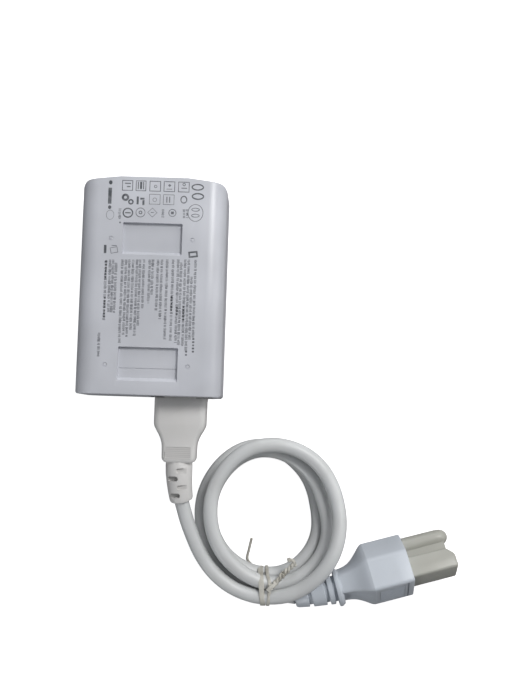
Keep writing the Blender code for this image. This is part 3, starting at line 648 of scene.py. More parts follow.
def connector():
    """The moulded connector that stands in the mains inlet."""
    x, z = INLET
    half, high = CONNECTOR_HALF, CONNECTOR_HIGH
    body = cuboid("connector_shell", (x - half, CONNECTOR_BACK, z - high), (x + half, -47.5, z + high))
    open_mesh(body)
    round_edges(body, 2.8, 5, lambda edge: runs_along(edge, 1))
    steps = (
        (1.3, 0.985, 0.995), (1.7, 0.925, 0.975), (1.9, 0.890, 0.965), (1.9, 0.905, 0.970),
        (1.8, 0.935, 0.980), (1.6, 0.975, 0.990), (4.9, 0.985, 0.990), (0.9, 0.965, 0.970),
        (0.8, 0.905, 0.920), (0.35, 0.90, 0.94),
    )
    grow(body, 1, -1, steps, (x, 0, z))
    close_mesh()
    for k in range(8):
        y = -69.0 - 0.82 * k
        cut_box(body, (x - 5.6, y - 0.2, z + 6.52), (x + 5.2, y + 0.2, z + 9))
        cut_box(body, (x - 5.6, y - 0.2, z - 9), (x + 5.2, y + 0.2, z - 6.52))
    for side in (-1, 1):
        low, top = sorted((z + 6.3 * side, z + 9 * side))
        cut_box(body, (x - 6.1, -75.3, low), (x - 5.8, -71.2, top))
    nose = cuboid("nose", (x - half, -48.5, z - high), (x + half, -31.0, z + high))
    open_mesh(nose)
    round_edges(nose, 4.5, 1, lambda edge: runs_along(edge, 1) and edge.verts[0].co.z > z * MM)
    pick(nose, "FACE", lambda face: faces_along(face, 1, 1))
    bpy.ops.mesh.inset(thickness=0.5 * MM, depth=0.3 * MM)
    close_mesh()
    combine(body, nose, "UNION")
    for pin_x, pin_z in PIN_PLACES:
        middle = Vector((x + pin_x, 0.0, z + pin_z))
        low = middle + Vector((-BAY[0], -49.0, -BAY[1]))
        cut_box(body, low, middle + Vector((BAY[0], -20.0, BAY[1])))
    return smooth(body, 30.0)


def sleeve_form(name, radii, sides=36):
    """A straight sleeve along +X from rings given as (distance, radius)."""
    (start, first), (second, _) = radii[0], radii[1]
    sleeve = rod(name, first, (start, 0, 0), (second, 0, 0), sides)
    open_mesh(sleeve)
    pick(sleeve, "FACE", lambda face: faces_along(face, 0, 1))
    ratio = radii[1][1] / first
    where = Vector((second, 0.0, 0.0)) * MM
    bpy.ops.transform.resize(value=(1.0, ratio, ratio), center_override=where)
    for (before, old), (after, new) in zip(radii[1:], radii[2:]):
        move = Vector((after - before, 0.0, 0.0)) * MM
        push(move)
        where += move
        if new != old:
            ratio = new / old
            bpy.ops.transform.resize(value=(1.0, ratio, ratio), center_override=where)
    close_mesh()
    return sleeve


def slot_tool(x, y_low, y_high, width, z_low, z_high):
    """A slot's space with round ends, open at one side."""
    tool = cuboid("slot", (x - width / 2, y_low, z_low), (x + width / 2, y_high, z_high))
    open_mesh(tool)
    round_edges(tool, width * 0.47, 4, lambda edge: runs_along(edge, 2))
    close_mesh()
    return tool


def connector_sleeve():
    """The connector's strain relief, with staggered slots, laid along its bend."""
    rings = [
        (-1.4, 5.7), (0.6, 5.95), (4.0, 5.9), (8.0, 5.65), (12.0, 5.4), (14.4, 5.25), (15.6, 5.1),
        (16.2, 4.8), (16.5, 4.2),
    ]
    sleeve = sleeve_form("connector_sleeve", rings)
    for x, y_low, y_high, depth in (
        (2.9, -0.9, 5.4, 0.35), (6.1, -4.6, -0.2, 2.2), (9.8, -0.9, 5.2, 0.35), (13.0, -4.3, 0.0, 2.0),
    ):
        outside = 6.1 - 0.05 * x
        combine(sleeve, slot_tool(x, y_low, y_high, 2.0, outside - depth - 0.9, 9.0))
        combine(sleeve, slot_tool(x, -y_high, -y_low, 2.0, -9.0, -outside + depth + 0.9))
    smooth(sleeve, 35.0)
    start = Vector((INLET[0], RELIEF_FRONT, INLET[1]))
    reach = Vector(RELIEF_END) - start

    def lay(point):
        share = point.x / SLEEVE_SPAN
        middle = start + Vector((reach.x * share * share, reach.y * share, reach.z * share * share))
        along = Vector((2 * reach.x * share, reach.y, 2 * reach.z * share)).normalized()
        side = Vector((0, 0, 1)).cross(along).normalized()
        up = along.cross(side)
        return middle + side * point.y + up * point.z

    return reshape(sleeve, lay)


# ---------------------------------------------------------------- plug


def plug_matrix():
    """From the plug's own frame to the object's."""
    low = PLUG_HALF * math.cos(PLUG_ROLL) + PLUG_SIDE * math.sin(PLUG_ROLL)
    turn = Matrix.Rotation(PLUG_AZIMUTH, 4, "Z") @ Matrix.Rotation(-PLUG_ROLL, 4, "X")
    return shift(*PLUG_PLACE, low + 0.1) @ turn


PLUG_FRAME = plug_matrix()


def in_plug_frame(obj):
    obj.data.transform(PLUG_FRAME)
    return obj


def toward_round(share, radius):
    """Draw the selected ring of a plug section in towards a circle."""
    bm = bmesh.from_edit_mesh(bpy.context.object.data)
    for corner in bm.verts:
        if corner.select:
            y, z = corner.co.y / MM, corner.co.z / MM
            out = Vector((y - PLUG_AXIS, z)).normalized() * radius
            corner.co.y = (y + (PLUG_AXIS + out.x - y) * share) * MM
            corner.co.z = (z + (out.y - z) * share) * MM
    bmesh.update_edit_mesh(bpy.context.object.data)


def plug():
    """The moulded plug: a six-sided grip that narrows into a round neck."""
    crown = PLUG_HALF + PLUG_SWELL
    low, high = (-GRIP, -PLUG_SWELL, -PLUG_HALF), (0, PLUG_TOP + PLUG_SWELL, crown)
    body = cuboid("plug_shell", low, high)
    open_mesh(body)
    for side, half in ((-1, PLUG_HALF), (1, crown)):
        edge = (0.0, PLUG_SIDE + PLUG_SWELL, side * half)
        cut_away(edge, (0.0, PLUG_HALF - PLUG_NOSE, side * (PLUG_TOP - PLUG_SIDE)))
    round_edges(body, 1.5, 4, lambda edge: runs_along(edge, 0))
    round_edges(body, 0.6, 3, lambda edge: all(abs(v.co.x) < 0.01 * MM for v in edge.verts))
    pick(body, "EDGE", lambda edge: runs_along(edge, 0) and edge.calc_length() > 8 * MM)
    bpy.ops.mesh.subdivide(number_cuts=2)
    pick(body, "FACE", lambda face: faces_along(face, 0, -1))
    bpy.ops.mesh.inset(thickness=0.01 * MM, depth=0.0)
    for distance, share in TAPER:
        push((-distance * MM, 0.0, 0.0))
        toward_round(share, NECK)
    close_mesh()
    for side in (-1, 1):
        middle = side * BLADE_Z
        low = (-10, BLADE_Y - 3.5, middle - 1.1)
        cut_box(body, low, (5, BLADE_Y + 3.5, middle + 1.1))
    combine(body, rod("earth_way", 2.7, (-10, EARTH_Y, 0), (5, EARTH_Y, 0), 24))
    finger_grips(body)
    rings = [(0.0, 7.3), (0.7, 7.75), (1.2, 8.15), (2.2, 8.2), (2.5, 8.05), (2.7, 7.6)]
    collar = sleeve_form("collar", rings, 40)
    collar.data.transform(Matrix.Rotation(math.pi, 4, "Y"))
    collar.data.transform(shift(COLLAR, PLUG_AXIS, 0))
    combine(body, collar, "UNION")
    return in_plug_frame(smooth(body, 30.0))


def finger_grips(body):
    """A ribbed panel and a stop groove on the grip's flat side next to the blades."""
    face = -PLUG_SWELL
    cut_box(body, (-15.5, face - 1.0, -8.6), (-4.2, face + 0.25, 8.6))
    rib = cuboid("rib", (-15.2, face, -8.4), (-4.5, face + 0.5, -7.9))
    open_mesh(rib)
    round_edges(rib, 0.16, 2, lambda edge: runs_along(edge, 0) and edge.verts[0].co.y < (face + 0.1) * MM)
    close_mesh()
    ribs = [copy_of(rib, shift(0, 0.02, 1.36 * k)) for k in range(13)]
    discard(rib)
    combine(body, joined("ribs", ribs), "UNION")
    cut_box(body, (-3.1, face - 1.0, -11.2), (-2.5, face + 0.7, 11.2))


def plug_sleeve():
    """The plug's strain relief: ridges and deep grooves, sagging towards its tail."""
    rings = [
        (0.0, 5.6), (1.4, 5.6), (1.5, 6.4), (1.8, 6.65), (3.3, 6.5), (3.5, 6.3), (3.6, 5.1),
        (4.9, 5.1), (5.0, 5.95), (5.25, 6.2), (10.3, 5.7), (10.5, 5.5), (10.6, 4.5),
        (12.0, 4.5), (12.1, 5.2), (12.35, 5.4), (16.6, 4.9), (17.3, 4.6), (17.6, 4.0),
    ]
    sleeve = sleeve_form("plug_sleeve", rings, 40)
    smooth(sleeve, 35.0)
    bridge = cuboid("bridge", (1.0, -0.9, -5.2), (13.0, 0.9, 5.2))
    combine(sleeve, bridge, "UNION")
    smooth(sleeve, 35.0)

    def lay(point):
        back = TAIL_ROOT + point.x * (TAIL_STOP - TAIL_ROOT) / TAIL_SPAN
        share = max(0.0, (back - TAIL_START) / (TAIL_STOP - TAIL_START))
        centre = PLUG_FRAME @ (Vector((-back, PLUG_AXIS, 0)) * MM) / MM
        around = PLUG_FRAME.to_3x3() @ Vector((0.0, point.y, -point.z))
        return centre + around - Vector((0, 0, TAIL_DROP * share * share))

    return reshape(sleeve, lay)


def shroud():
    """The milky cap over the pins: a flat pocket for the blades and a round one for the earth."""
    cap = cuboid("pin_shroud", (0.4, 1.9, -8.5), (20.4, 11.1, 8.5))
    open_mesh(cap)
    cut_away((17.2, 11.1, 0.0), (5.6, 3.2, 0.0))
    round_edges(cap, 1.0, 3, lambda edge: edge.calc_length() > 2.0 * MM and not at_root(edge))
    close_mesh()
    web = cuboid("web", (0.9, 10.0, -2.2), (18.2, EARTH_Y - 1.0, 2.2))
    combine(cap, web, "UNION")
    barrel = sleeve_form(
        "barrel", [(0.4, 3.7), (15.6, 3.65), (17.6, 3.45), (19.2, 2.8), (20.2, 1.7), (20.55, 0.7)], 32
    )
    barrel.data.transform(shift(0, EARTH_Y, 0))
    combine(cap, barrel, "UNION")
    for side in (-1, 1):
        middle = side * BLADE_Z
        low = (-5, BLADE_Y - 3.5, middle - 1.1)
        cut_box(cap, low, (16.6, BLADE_Y + 3.5, middle + 1.1))
    combine(cap, rod("earth_way", 2.7, (-5, EARTH_Y, 0), (18.5, EARTH_Y, 0), 24))
    return in_plug_frame(smooth(cap, 35.0))


def at_root(edge):
    return all(v.co.x < 0.5 * MM for v in edge.verts)


# ---------------------------------------------------------------- tie


def belt(middles, radius):
    """The line of a belt pulled tight round circles, as (y, z) points."""
    points = []
    for y, z in middles:
        for k in range(36):
            a = 2 * math.pi * k / 36
            points.append((round(y + radius * math.cos(a), 4), round(z + radius * math.sin(a), 4)))
    points = sorted(set(points))
    hull = []
    for row in (points, points[::-1]):
        chain = []
        for p in row:
            while len(chain) > 1 and turn_of(chain[-2], chain[-1], p) <= 0:
                chain.pop()
            chain.append(p)
        hull += chain[:-1]
    return hull


def turn_of(a, b, c):
    return (b[0] - a[0]) * (c[1] - a[1]) - (b[1] - a[1]) * (c[0] - a[0])


def band(name, width, strands, lean):
    """One pass of the tie round the bundle, flat side in, with its place along X set by lean."""
    line = [(y, z, 0.0) for y, z in belt(strands, CORD / 2 + 0.3)]
    facts = {
        "dimensions": "2D", "fill_mode": "NONE", "extrude": width / 2 * MM,
        "bevel_depth": 0.24 * MM, "bevel_resolution": 2,
    }
    strap = bar_along(name, line, True, facts)
    return reshape(strap, lambda p: (p.z + lean(p.x, p.y), p.x, p.y))


def wire(name, line, diameter):
    return round_bar(name, line, diameter, 3)


def twisted_pair(start, stop, radius, turns):
    """Two soft wires wound round each other between two points."""
    along = Vector(stop) - Vector(start)
    side = along.cross(Vector((0, 0, 1))).normalized()
    up = side.cross(along).normalized()
    pair = []
    for phase in (0.0, math.pi):
        line = []
        for k in range(41):
            share = k / 40
            a = phase + 2 * math.pi * turns * share
            slack = radius * (1.0 + 0.25 * math.sin(9.0 * share))
            off = side * math.cos(a) * slack + up * math.sin(a) * slack
            line.append(Vector(start) + along * share + off)
        pair.append(line)
    return pair


def tie():
    """A coated wire tie: two passes, a twist that lies over the bundle, and one free end."""
    near = ((-134.0, 10.5), (-127.3, 10.0), (-124.9, 4.0), (-131.9, 4.2))
    far = ((-133.9, 11.5), (-127.5, 9.9), (-124.7, 3.8), (-132.6, 4.7))
    pieces = [
        band("pass_a", 1.9, near, lambda y, z: 50.4 + 0.1 * (-120.0 - y)),
        band("pass_b", 1.0, far, tie_lean),
    ]
    knot = (56.2, -128.6, 14.2)
    bend = (60.9, -123.0, 14.3)
    tip = (65.6, -118.6, 14.0)
    for start, stop, turns in ((knot, bend, 1.8), (bend, tip, 1.6)):
        for line in twisted_pair(start, stop, 0.62, turns):
            pieces.append(wire("strand", line, 1.25))
    hook = [(65.2, -119.2, 14.2), (65.4, -117.9, 14.6), (64.2, -116.9, 14.6), (63.0, -117.4, 14.2)]
    pieces.append(wire("hook", smooth_line(hook, 4), 1.5))
    pieces.append(wire("hook_end", smooth_line([(63.3, -117.5, 14.2), (62.9, -116.2, 14.5)], 3), 1.7))
    lump = [(54.2, -130.4, 15.2), (55.3, -129.0, 15.4), (56.6, -128.2, 14.9), (57.7, -127.2, 14.3)]
    pieces.append(wire("knot", smooth_line(lump, 4), 1.9))
    lump = [(54.6, -127.6, 13.9), (55.4, -128.8, 14.8), (55.6, -130.1, 15.3)]
    pieces.append(wire("knot_turn", smooth_line(lump, 4), 1.5))
    free = [
        (51.0, -125.6, 0.7), (46.9, -121.6, 0.75), (44.6, -118.7, 1.4), (45.3, -114.0, 3.4),
        (46.3, -109.0, 5.6),
    ]
    pieces.append(wire("free_end", smooth_line(free, 5), 1.25))
    meet = [(51.8, -136.8, 5.6), (52.8, -137.1, 6.8), (54.0, -137.0, 8.2)]
    pieces.append(wire("meet", smooth_line(meet, 4), 1.5))
    return smooth(joined("tie_wire", pieces), 40.0)


def tie_lean(y, z):
    """The second pass leaves the hole beside the first, runs out to the knot, and comes back."""
    inner, knot, outer = -121.0, -128.6, -138.0
    if z < 8.0:
        return 53.4 + 0.05 * (inner - y)
    if y > knot:
        return 52.8 + (inner - y) / (inner - knot) * 2.6
    return 55.4 - (knot - y) / (knot - outer) * 1.2


# ---------------------------------------------------------------- finishes


def new_group(name, inputs, outputs):
    group = bpy.data.node_groups.new(name, "ShaderNodeTree")
    for label, kind, value in inputs:
        socket = group.interface.new_socket(name=label, in_out="INPUT", socket_type=kind)
        socket.default_value = value
    for label, kind in outputs:
        group.interface.new_socket(name=label, in_out="OUTPUT", socket_type=kind)
    source = group.nodes.new("NodeGroupInput")
    sink = group.nodes.new("NodeGroupOutput")
    return group, source.outputs, sink.inputs


def feed(tree, made, values):
    """Link or set a node's inputs, each by its name or number."""
    for name, value in values.items():
        if isinstance(value, bpy.types.NodeSocket):
            tree.links.new(value, made.inputs[name])
        else:
            made.inputs[name].default_value = value


def node(tree, kind, values=(), **facts):
    made = tree.nodes.new(kind)
    for name, value in facts.items():
        setattr(made, name, value)
    feed(tree, made, dict(values))
    return made


def object_place(tree):
    return node(tree, "ShaderNodeTexCoord").outputs["Object"]


def noise(tree, place, scale, detail):
    facts = {"Vector": place, "Scale": scale, "Detail": detail}
    return node(tree, "ShaderNodeTexNoise", facts).outputs[0]


def ranged(tree, value, low, high, to_low, to_high):
    """A value carried from one range to another and held inside it."""
    made = node(tree, "ShaderNodeMapRange", {0: value, 1: low, 2: high, 3: to_low, 4: to_high})
    return made.outputs[0]


def blended(tree, share, first, second):
    """A colour between two others."""
    made = node(tree, "ShaderNodeMix", {0: share, 6: first, 7: second}, data_type="RGBA")
    return made.outputs[2]


def times(tree, a, b, operation="MULTIPLY"):
    return node(tree, "ShaderNodeMath", {0: a, 1: b}, operation=operation).outputs[0]


def moulding_group():
    """Fine texture of a moulded surface: a height and a slow change of tone."""
    group, given, out = new_group(
        "moulded_grain",
        [("Grain Size", "NodeSocketFloat", 0.3), ("Depth", "NodeSocketFloat", 1.0)],
        [("Height", "NodeSocketFloat"), ("Tone", "NodeSocketFloat")],
    )
    place = object_place(group)
    scale = times(group, 1000.0, given["Grain Size"], "DIVIDE")
    fine = noise(group, place, scale, 3.0)
    cells = node(group, "ShaderNodeTexVoronoi", {"Vector": place, "Scale": scale})
    slow = noise(group, place, 38.0, 2.0)
    mixed = times(group, fine, times(group, cells.outputs[0], 0.4), "ADD")
    group.links.new(times(group, mixed, given["Depth"]), out["Height"])
    group.links.new(slow, out["Tone"])
    return group


def handling_group():
    """Marks of use: a slow yellowing, rubbed smears and small specks of dust."""
    group, given, out = new_group(
        "handling_marks",
        [
            ("Colour", "NodeSocketColor", (0.5, 0.5, 0.5, 1.0)),
            ("Soil", "NodeSocketColor", (0.3, 0.3, 0.28, 1.0)),
            ("Amount", "NodeSocketFloat", 0.1),
            ("Roughness", "NodeSocketFloat", 0.4),
        ],
        [("Colour", "NodeSocketColor"), ("Roughness", "NodeSocketFloat")],
    )
    place = object_place(group)
    slow = noise(group, place, 45.0, 3.0)
    stretch = node(group, "ShaderNodeMapping", {"Vector": place, "Scale": (1.0, 0.3, 1.0)})
    smear = noise(group, stretch.outputs[0], 160.0, 5.0)
    specks = node(group, "ShaderNodeTexVoronoi", {"Vector": place, "Scale": 210.0})
    soft = ranged(group, slow, 0.38, 0.68, 0.0, 1.0)
    rubbed = ranged(group, smear, 0.52, 0.72, 0.0, 1.0)
    spots = ranged(group, specks.outputs[0], 0.05, 0.09, 1.0, 0.0)
    soil = times(group, times(group, soft, 0.6), times(group, rubbed, 0.35), "ADD")
    soil = times(group, soil, times(group, spots, 0.55), "ADD")
    share = times(group, soil, given["Amount"])
    group.links.new(blended(group, share, given["Colour"], given["Soil"]), out["Colour"])
    rough = times(group, given["Roughness"], times(group, soil, 0.1), "ADD")
    group.links.new(rough, out["Roughness"])
    return group


def wear_and_groove_shade_group():
    """Where a surface is folded: lighter along worn edges, partly a painted edge highlight, and painted
    shade darkening its grooves.
    """
    group, given, out = new_group(
        "worn_edges_and_groove_shade",
        [
            ("Colour", "NodeSocketColor", (0.5, 0.5, 0.5, 1.0)),
            ("Worn", "NodeSocketColor", (0.7, 0.7, 0.7, 1.0)),
            ("Groove Shade", "NodeSocketColor", (0.26, 0.26, 0.26, 1.0)),
            ("Amount", "NodeSocketFloat", 0.3),
        ],
        [("Colour", "NodeSocketColor")],
    )
    fold = node(group, "ShaderNodeNewGeometry").outputs["Pointiness"]
    # lighter along convex edges: edge wear and a painted edge highlight
    edge = times(group, ranged(group, fold, 0.505, 0.60, 0.0, 1.0), given["Amount"])
    # painted shade: colour darkened where the surface folds inward, in grooves and creases
    groove_shade = times(group, ranged(group, fold, 0.40, 0.495, 1.0, 0.0), given["Amount"])
    lit = blended(group, edge, given["Colour"], given["Worn"])
    group.links.new(blended(group, groove_shade, lit, given["Groove Shade"]), out["Colour"])
    return group


def metal_group():
    """Drawn metal: fine lines along one way, and a duller cloud over them."""
    group, given, out = new_group(
        "drawn_metal",
        [
            ("Colour", "NodeSocketColor", (0.7, 0.7, 0.7, 1.0)),
            ("Dull", "NodeSocketColor", (0.5, 0.5, 0.5, 1.0)),
            ("Roughness", "NodeSocketFloat", 0.3),
        ],
        [
            ("Colour", "NodeSocketColor"), ("Roughness", "NodeSocketFloat"),
            ("Height", "NodeSocketFloat"),
        ],
    )
    place = object_place(group)
    drawn = node(group, "ShaderNodeMapping", {"Vector": place, "Scale": (1.0, 0.06, 1.0)})
    lines = noise(group, drawn.outputs[0], 2600.0, 2.0)
    cloud = noise(group, place, 180.0, 4.0)
    share = ranged(group, cloud, 0.35, 0.7, 0.0, 1.0)
    group.links.new(blended(group, share, given["Colour"], given["Dull"]), out["Colour"])
    rough = times(group, given["Roughness"], times(group, share, 0.15), "ADD")
    group.links.new(rough, out["Roughness"])
    group.links.new(lines, out["Height"])
    return group


MOULDING = moulding_group()
HANDLING = handling_group()
EDGES = wear_and_groove_shade_group()
METAL = metal_group()


def grouped(tree, group, values):
    return node(tree, "ShaderNodeGroup", values, node_tree=group).outputs


def srgb(red, green, blue):
    """A colour as the eye grades it, from 0 to 255, in the light's own scale."""
    parts = []
    for value in (red, green, blue):
        v = value / 255
        parts.append(v / 12.92 if v <= 0.04045 else ((v + 0.055) / 1.055) ** 2.4)
    return (*parts, 1.0)


def new_finish(name):
    finish = bpy.data.materials.new(name)
    finish.use_nodes = True
    tree = finish.node_tree
    return finish, tree, tree.nodes["Principled BSDF"]


def set_bump(tree, shader, height, strength, distance):
    bump = node(
        tree, "ShaderNodeBump", {"Strength": strength, "Distance": distance * MM, "Height": height}
    )
    tree.links.new(bump.outputs[0], shader.inputs["Normal"])


def plastic(name, colour, rough, grain, depth, soil, worn, **sockets):
    """A moulded plastic with its grain, its slow tone, worn edges with a painted edge highlight, painted
    shade in its grooves and marks of handling.
    """
    finish, tree, shader = new_finish(name)
    surface = grouped(tree, MOULDING, {"Grain Size": grain})
    lighter = tuple(min(1.0, c * 1.07 + 0.004) for c in colour[:3]) + (1.0,)
    darker = tuple(c * 0.93 for c in colour[:3]) + (1.0,)
    toned = blended(tree, ranged(tree, surface["Tone"], 0.3, 0.7, 0.0, 1.0), darker, lighter)
    # lighter edge colour: edge wear and a painted edge highlight
    worn_colour = tuple(min(1.0, c * 1.25 + 0.02) for c in colour[:3]) + (1.0,)
    # painted shade: the darker colour laid in grooves and creases
    groove_shade = tuple(c * 0.55 for c in colour[:3]) + (1.0,)
    edged_and_shaded = grouped(
        tree, EDGES, {"Colour": toned, "Worn": worn_colour, "Groove Shade": groove_shade, "Amount": worn}
    )
    soil_colour = tuple(c * t for c, t in zip(colour[:3], (0.66, 0.62, 0.56))) + (1.0,)
    marked = grouped(
        tree,
        HANDLING,
        {"Colour": edged_and_shaded["Colour"], "Soil": soil_colour, "Amount": soil, "Roughness": rough},
    )
    feed(tree, shader, {"Base Color": marked["Colour"], "Roughness": marked["Roughness"]})
    set_bump(tree, shader, surface["Height"], 0.6, depth)
    for label, value in sockets.items():
        shader.inputs[label.replace("_", " ")].default_value = value
    return finish


def metal(name, colour, dull, rough):
    """A drawn or stamped metal."""
    finish, tree, shader = new_finish(name)
    surface = grouped(tree, METAL, {"Colour": colour, "Dull": dull, "Roughness": rough})
    feed(tree, shader, {"Base Color": surface["Colour"], "Roughness": surface["Roughness"]})
    shader.inputs["Metallic"].default_value = 1.0
    set_bump(tree, shader, surface["Height"], 0.5, 0.004)
    return finish


def ink(name, colour, broken):
    """Print that has rubbed thin in places."""
    finish, tree, shader = new_finish(name)
    place = object_place(tree)
    rub = noise(tree, place, 420.0, 4.0)
    share = ranged(tree, rub, 0.4, 0.75, 0.0, broken)
    worn = blended(tree, share, colour, srgb(186, 188, 194))
    rough = ranged(tree, rub, 0.3, 0.7, 0.45, 0.6)
    feed(tree, shader, {"Base Color": worn, "Roughness": rough})
    return finish


def laminate(name):
    """Board laminate: solder mask over copper tracks, with rows of plated holes."""
    finish, tree, shader = new_finish(name)
    place = object_place(tree)
    squares = node(tree, "ShaderNodeTexVoronoi", {"Vector": place, "Scale": 260.0})
    squares.distance = "CHEBYCHEV"
    tracks = node(tree, "ShaderNodeTexWave", {"Vector": place, "Scale": 90.0, "Distortion": 3.0})
    mask = srgb(28, 84, 48)
    over_copper = srgb(48, 118, 66)
    share = ranged(tree, tracks.outputs[1], 0.55, 0.62, 0.0, 1.0)
    base = blended(tree, share, mask, over_copper)
    holes = ranged(tree, squares.outputs[0], 0.12, 0.16, 1.0, 0.0)
    colour = blended(tree, holes, base, srgb(190, 186, 170))
    rough = ranged(tree, holes, 0.0, 1.0, 0.35, 0.25)
    feed(tree, shader, {"Base Color": colour, "Roughness": rough})
    set_bump(tree, shader, share, 0.5, 0.03)
    return finish


def winding(name, colour, gap_shade, pitch):
    """Turns of wire or tape laid side by side, with painted shade darkening the gaps between turns."""
    finish, tree, shader = new_finish(name)
    place = object_place(tree)
    turns = node(
        tree, "ShaderNodeTexWave", {"Vector": place, "Scale": 160.0 / pitch, "Distortion": 0.4},
        bands_direction="Z",
    )
    share = ranged(tree, turns.outputs[1], 0.1, 0.6, 0.0, 1.0)
    rough = ranged(tree, share, 0.0, 1.0, 0.6, 0.3)
    # painted shade: the colour darkens towards the gap between turns
    feed(tree, shader, {"Base Color": blended(tree, share, gap_shade, colour), "Roughness": rough})
    set_bump(tree, shader, turns.outputs[1], 0.8, 0.12)
    return finish


def tie_finish(name):
    """The tie's skin: a paper-like beige over wire, browned where it was twisted, lighter on its ridges
    with a painted highlight and with painted shade in its creases.
    """
    finish, tree, shader = new_finish(name)
    place = object_place(tree)
    stain = noise(tree, place, 190.0, 4.0)
    fibre = noise(tree, place, 1500.0, 3.0)
    clean, brown = srgb(188, 186, 178), srgb(118, 110, 96)
    share = ranged(tree, stain, 0.45, 0.75, 0.0, 0.7)
    edged_and_shaded = grouped(
        tree,
        EDGES,
        {
            "Colour": blended(tree, share, clean, brown),
            # lighter ridge colour: wear and a painted highlight
            "Worn": srgb(212, 209, 200),
            # painted shade colour for the creases of the twist
            "Groove Shade": srgb(96, 90, 78),
            "Amount": 0.35,
        },
    )
    rough = ranged(tree, fibre, 0.3, 0.7, 0.45, 0.65)
    feed(tree, shader, {"Base Color": edged_and_shaded["Colour"], "Roughness": rough})
    set_bump(tree, shader, fibre, 0.6, 0.05)
    return finish


def cap_finish():
    """A milky, slightly yellow soft plastic that lets some light through."""
    return plastic(
        "milky_cap", srgb(190, 190, 182), 0.32, 0.6, 0.02, 0.2, 0.3,
        Transmission_Weight=0.3, IOR=1.45,
    )


# Each moulded finish's slot: its name, its colour, then its roughness, grain size, grain depth,
# share of soil and share of edge wear, which also sets the painted groove shade and edge highlight
PLASTICS = {
    "case_plastic": ("case_white", (194, 196, 203), 0.34, 0.22, 0.012, 0.10, 0.0),
    "lead_plastic": ("lead_moulding", (207, 206, 205), 0.44, 0.5, 0.03, 0.14, 0.3),
    "plug_plastic": ("plug_moulding", (190, 196, 204), 0.38, 0.5, 0.03, 0.12, 0.3),
    "cord_jacket": ("cord_jacket", (203, 205, 206), 0.36, 0.6, 0.03, 0.2, 0.0),
    "black_plastic": ("black_moulding", (38, 38, 40), 0.45, 0.4, 0.02, 0.2, 0.3),
    "lens_plastic": ("milky_lens", (226, 232, 240), 0.25, 0.3, 0.004, 0.05, 0.1),
    "sheet_plastic": ("fish_paper", (214, 206, 176), 0.6, 0.8, 0.03, 0.3, 0.1),
    "ferrite": ("ferrite", (62, 62, 66), 0.7, 0.25, 0.03, 0.3, 0.3),
    "capacitor_sleeve": ("capacitor_sleeve", (34, 40, 70), 0.3, 0.8, 0.01, 0.1, 0.2),
    "blue_coating": ("blue_coating", (52, 92, 168), 0.3, 1.5, 0.06, 0.2, 0.2),
    "yellow_block": ("yellow_block", (214, 186, 72), 0.35, 0.5, 0.02, 0.15, 0.3),
    "led_body": ("led_body", (240, 236, 214), 0.3, 0.2, 0.004, 0.05, 0.1),
}


def finishes():
    looks = {
        slot: plastic(name, srgb(*colour), *rest)
        for slot, (name, colour, *rest) in PLASTICS.items()
    }
    looks.update({
        "tinned_metal": metal("tinned_metal", srgb(214, 213, 208), srgb(176, 174, 168), 0.26),
        "pin_brass": metal("pin_brass", srgb(214, 190, 140), srgb(176, 150, 104), 0.24),
        "contact_gold": metal("contact_gold", srgb(232, 200, 122), srgb(206, 172, 98), 0.22),
        "sink_aluminium": metal("sink_aluminium", srgb(208, 210, 214), srgb(176, 178, 182), 0.36),
        "board_laminate": laminate("board_laminate"),
        # each winding's second colour is painted shade for the gaps between turns
        "copper_winding": winding("copper_winding", srgb(190, 112, 66), srgb(90, 44, 24), 1.0),
        "tape_winding": winding("tape_winding", srgb(226, 192, 70), srgb(160, 128, 40), 4.0),
        "tie_plastic": tie_finish("tie_skin"),
        "cover_plastic": cap_finish(),
    })
    return looks


def dress(obj, finish):
    obj.data.materials.clear()
    obj.data.materials.append(finish)
    return obj


# ---------------------------------------------------------------- room


def show_camera(tree, real, shown, end):
    """Light the object with one shader and show the camera another."""
    seen = node(tree, "ShaderNodeLightPath").outputs["Is Camera Ray"]
    mix = node(tree, "ShaderNodeMixShader", {0: seen, 1: real.outputs[0], 2: shown.outputs[0]})
    tree.links.new(mix.outputs[0], tree.nodes[end].inputs["Surface"])


def make_room():
    bpy.ops.object.select_all(action="DESELECT")
    bpy.ops.mesh.primitive_plane_add(size=6.0, location=(0.05, -0.05, -0.0002))
    ground = settle("floor")
    finish, tree, shader = new_finish("pale_floor")
    shader.inputs["Base Color"].default_value = (0.2, 0.2, 0.2, 1.0)
    shader.inputs["Roughness"].default_value = 0.9
    white = node(tree, "ShaderNodeBsdfDiffuse", {"Color": (0.6, 0.6, 0.6, 1.0)})
    glow = node(tree, "ShaderNodeEmission", {"Color": (1, 1, 1, 1), "Strength": 0.92})
    lit = node(tree, "ShaderNodeAddShader", {0: white.outputs[0], 1: glow.outputs[0]})
    show_camera(tree, shader, lit, "Material Output")
    dress(ground, finish)


WARM = (1.0, 0.995, 0.985)
COOL = (0.98, 0.99, 1.0)
AIM = Vector((0.05, -0.04, 0.0))
LAMPS = (
    ("window", 0.4, (0.5, 0.45, 0.9), 7.4, WARM),
    ("right_screen", 0.8, (1.1, 0.1, 0.5), 3.2, WARM),
    ("back_screen", 0.8, (0.0, 1.1, 0.5), 4.6, COOL),
    ("near_screen", 0.36, (-0.6, -1.0, 0.24), 3.4, COOL),
    ("ceiling", 0.6, (0.10, 0.0, 1.3), 0.8, COOL),
)


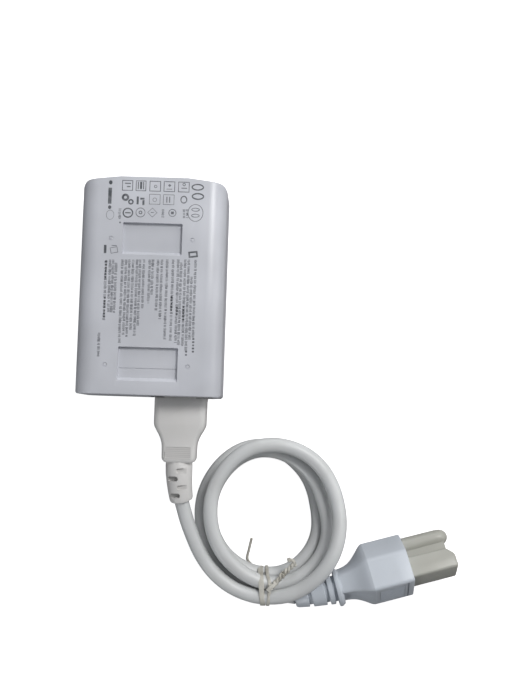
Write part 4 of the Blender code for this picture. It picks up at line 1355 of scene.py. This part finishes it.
def lamp(name, size, place, power, colour):
    """A round soft light aimed at the object's middle."""
    data = bpy.data.lights.new(name, "AREA")
    data.shape = "DISK"
    data.size = size
    data.energy = power
    data.color = colour
    light = bpy.data.objects.new(name, data)
    light.location = place
    light.rotation_euler = (AIM - Vector(place)).to_track_quat("-Z", "Y").to_euler()
    bpy.context.scene.collection.objects.link(light)


def make_light():
    world = bpy.data.worlds.new("studio")
    world.use_nodes = True
    tree = world.node_tree
    sky = tree.nodes["Background"]
    sky.inputs["Color"].default_value = (0.93, 0.96, 1.0, 1.0)
    sky.inputs["Strength"].default_value = 0.15
    wall = node(tree, "ShaderNodeBackground", {"Color": (1.0, 1.0, 1.0, 1.0), "Strength": 1.0})
    show_camera(tree, sky, wall, "World Output")
    bpy.context.scene.world = world
    for row in LAMPS:
        lamp(*row)
    bpy.context.scene.view_settings.view_transform = "Standard"


# ---------------------------------------------------------------- assembly


def main():
    looks = finishes()
    plug_look = looks.pop("plug_plastic")
    for part in frame["record"]["subparts"]:
        dress(NODES[part["node"]], looks[part["material_slot"]])

    def fit(piece, body, slot, finish, *stands_for):
        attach(piece, body)
        if stands_for:
            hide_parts(*stands_for)
        return dress(piece, finish)

    fit(label_side(), "injector", "case_plastic", looks["case_plastic"], "label_shell")
    fit(floor_side(), "injector", "case_plastic", looks["case_plastic"], "base_shell")
    fine, bold = label_print()
    fit(fine, "injector", "black_plastic", ink("fine_ink", srgb(98, 100, 106), 0.45))
    fit(bold, "injector", "black_plastic", ink("bold_ink", srgb(78, 81, 86), 0.35))
    lead = looks["lead_plastic"]
    fit(connector(), "mains_lead", "lead_plastic", lead, "connector_body")
    fit(connector_sleeve(), "mains_lead", "lead_plastic", lead, "connector_relief")
    shell = fit(plug(), "mains_lead", "lead_plastic", plug_look, "plug_body")
    tail = fit(plug_sleeve(), "mains_lead", "lead_plastic", plug_look, "plug_relief")
    cap = fit(shroud(), "cover", "cover_plastic", looks["cover_plastic"], "pin_cover")
    wrap = fit(tie(), "mains_lead", "tie_plastic", looks["tie_plastic"], "cord_tie")
    fit(cord, "mains_lead", "cord_jacket", looks["cord_jacket"],
        "lead_in_cord", "cord_coil", "lead_out_cord")
    make_room()
    make_light()


main()
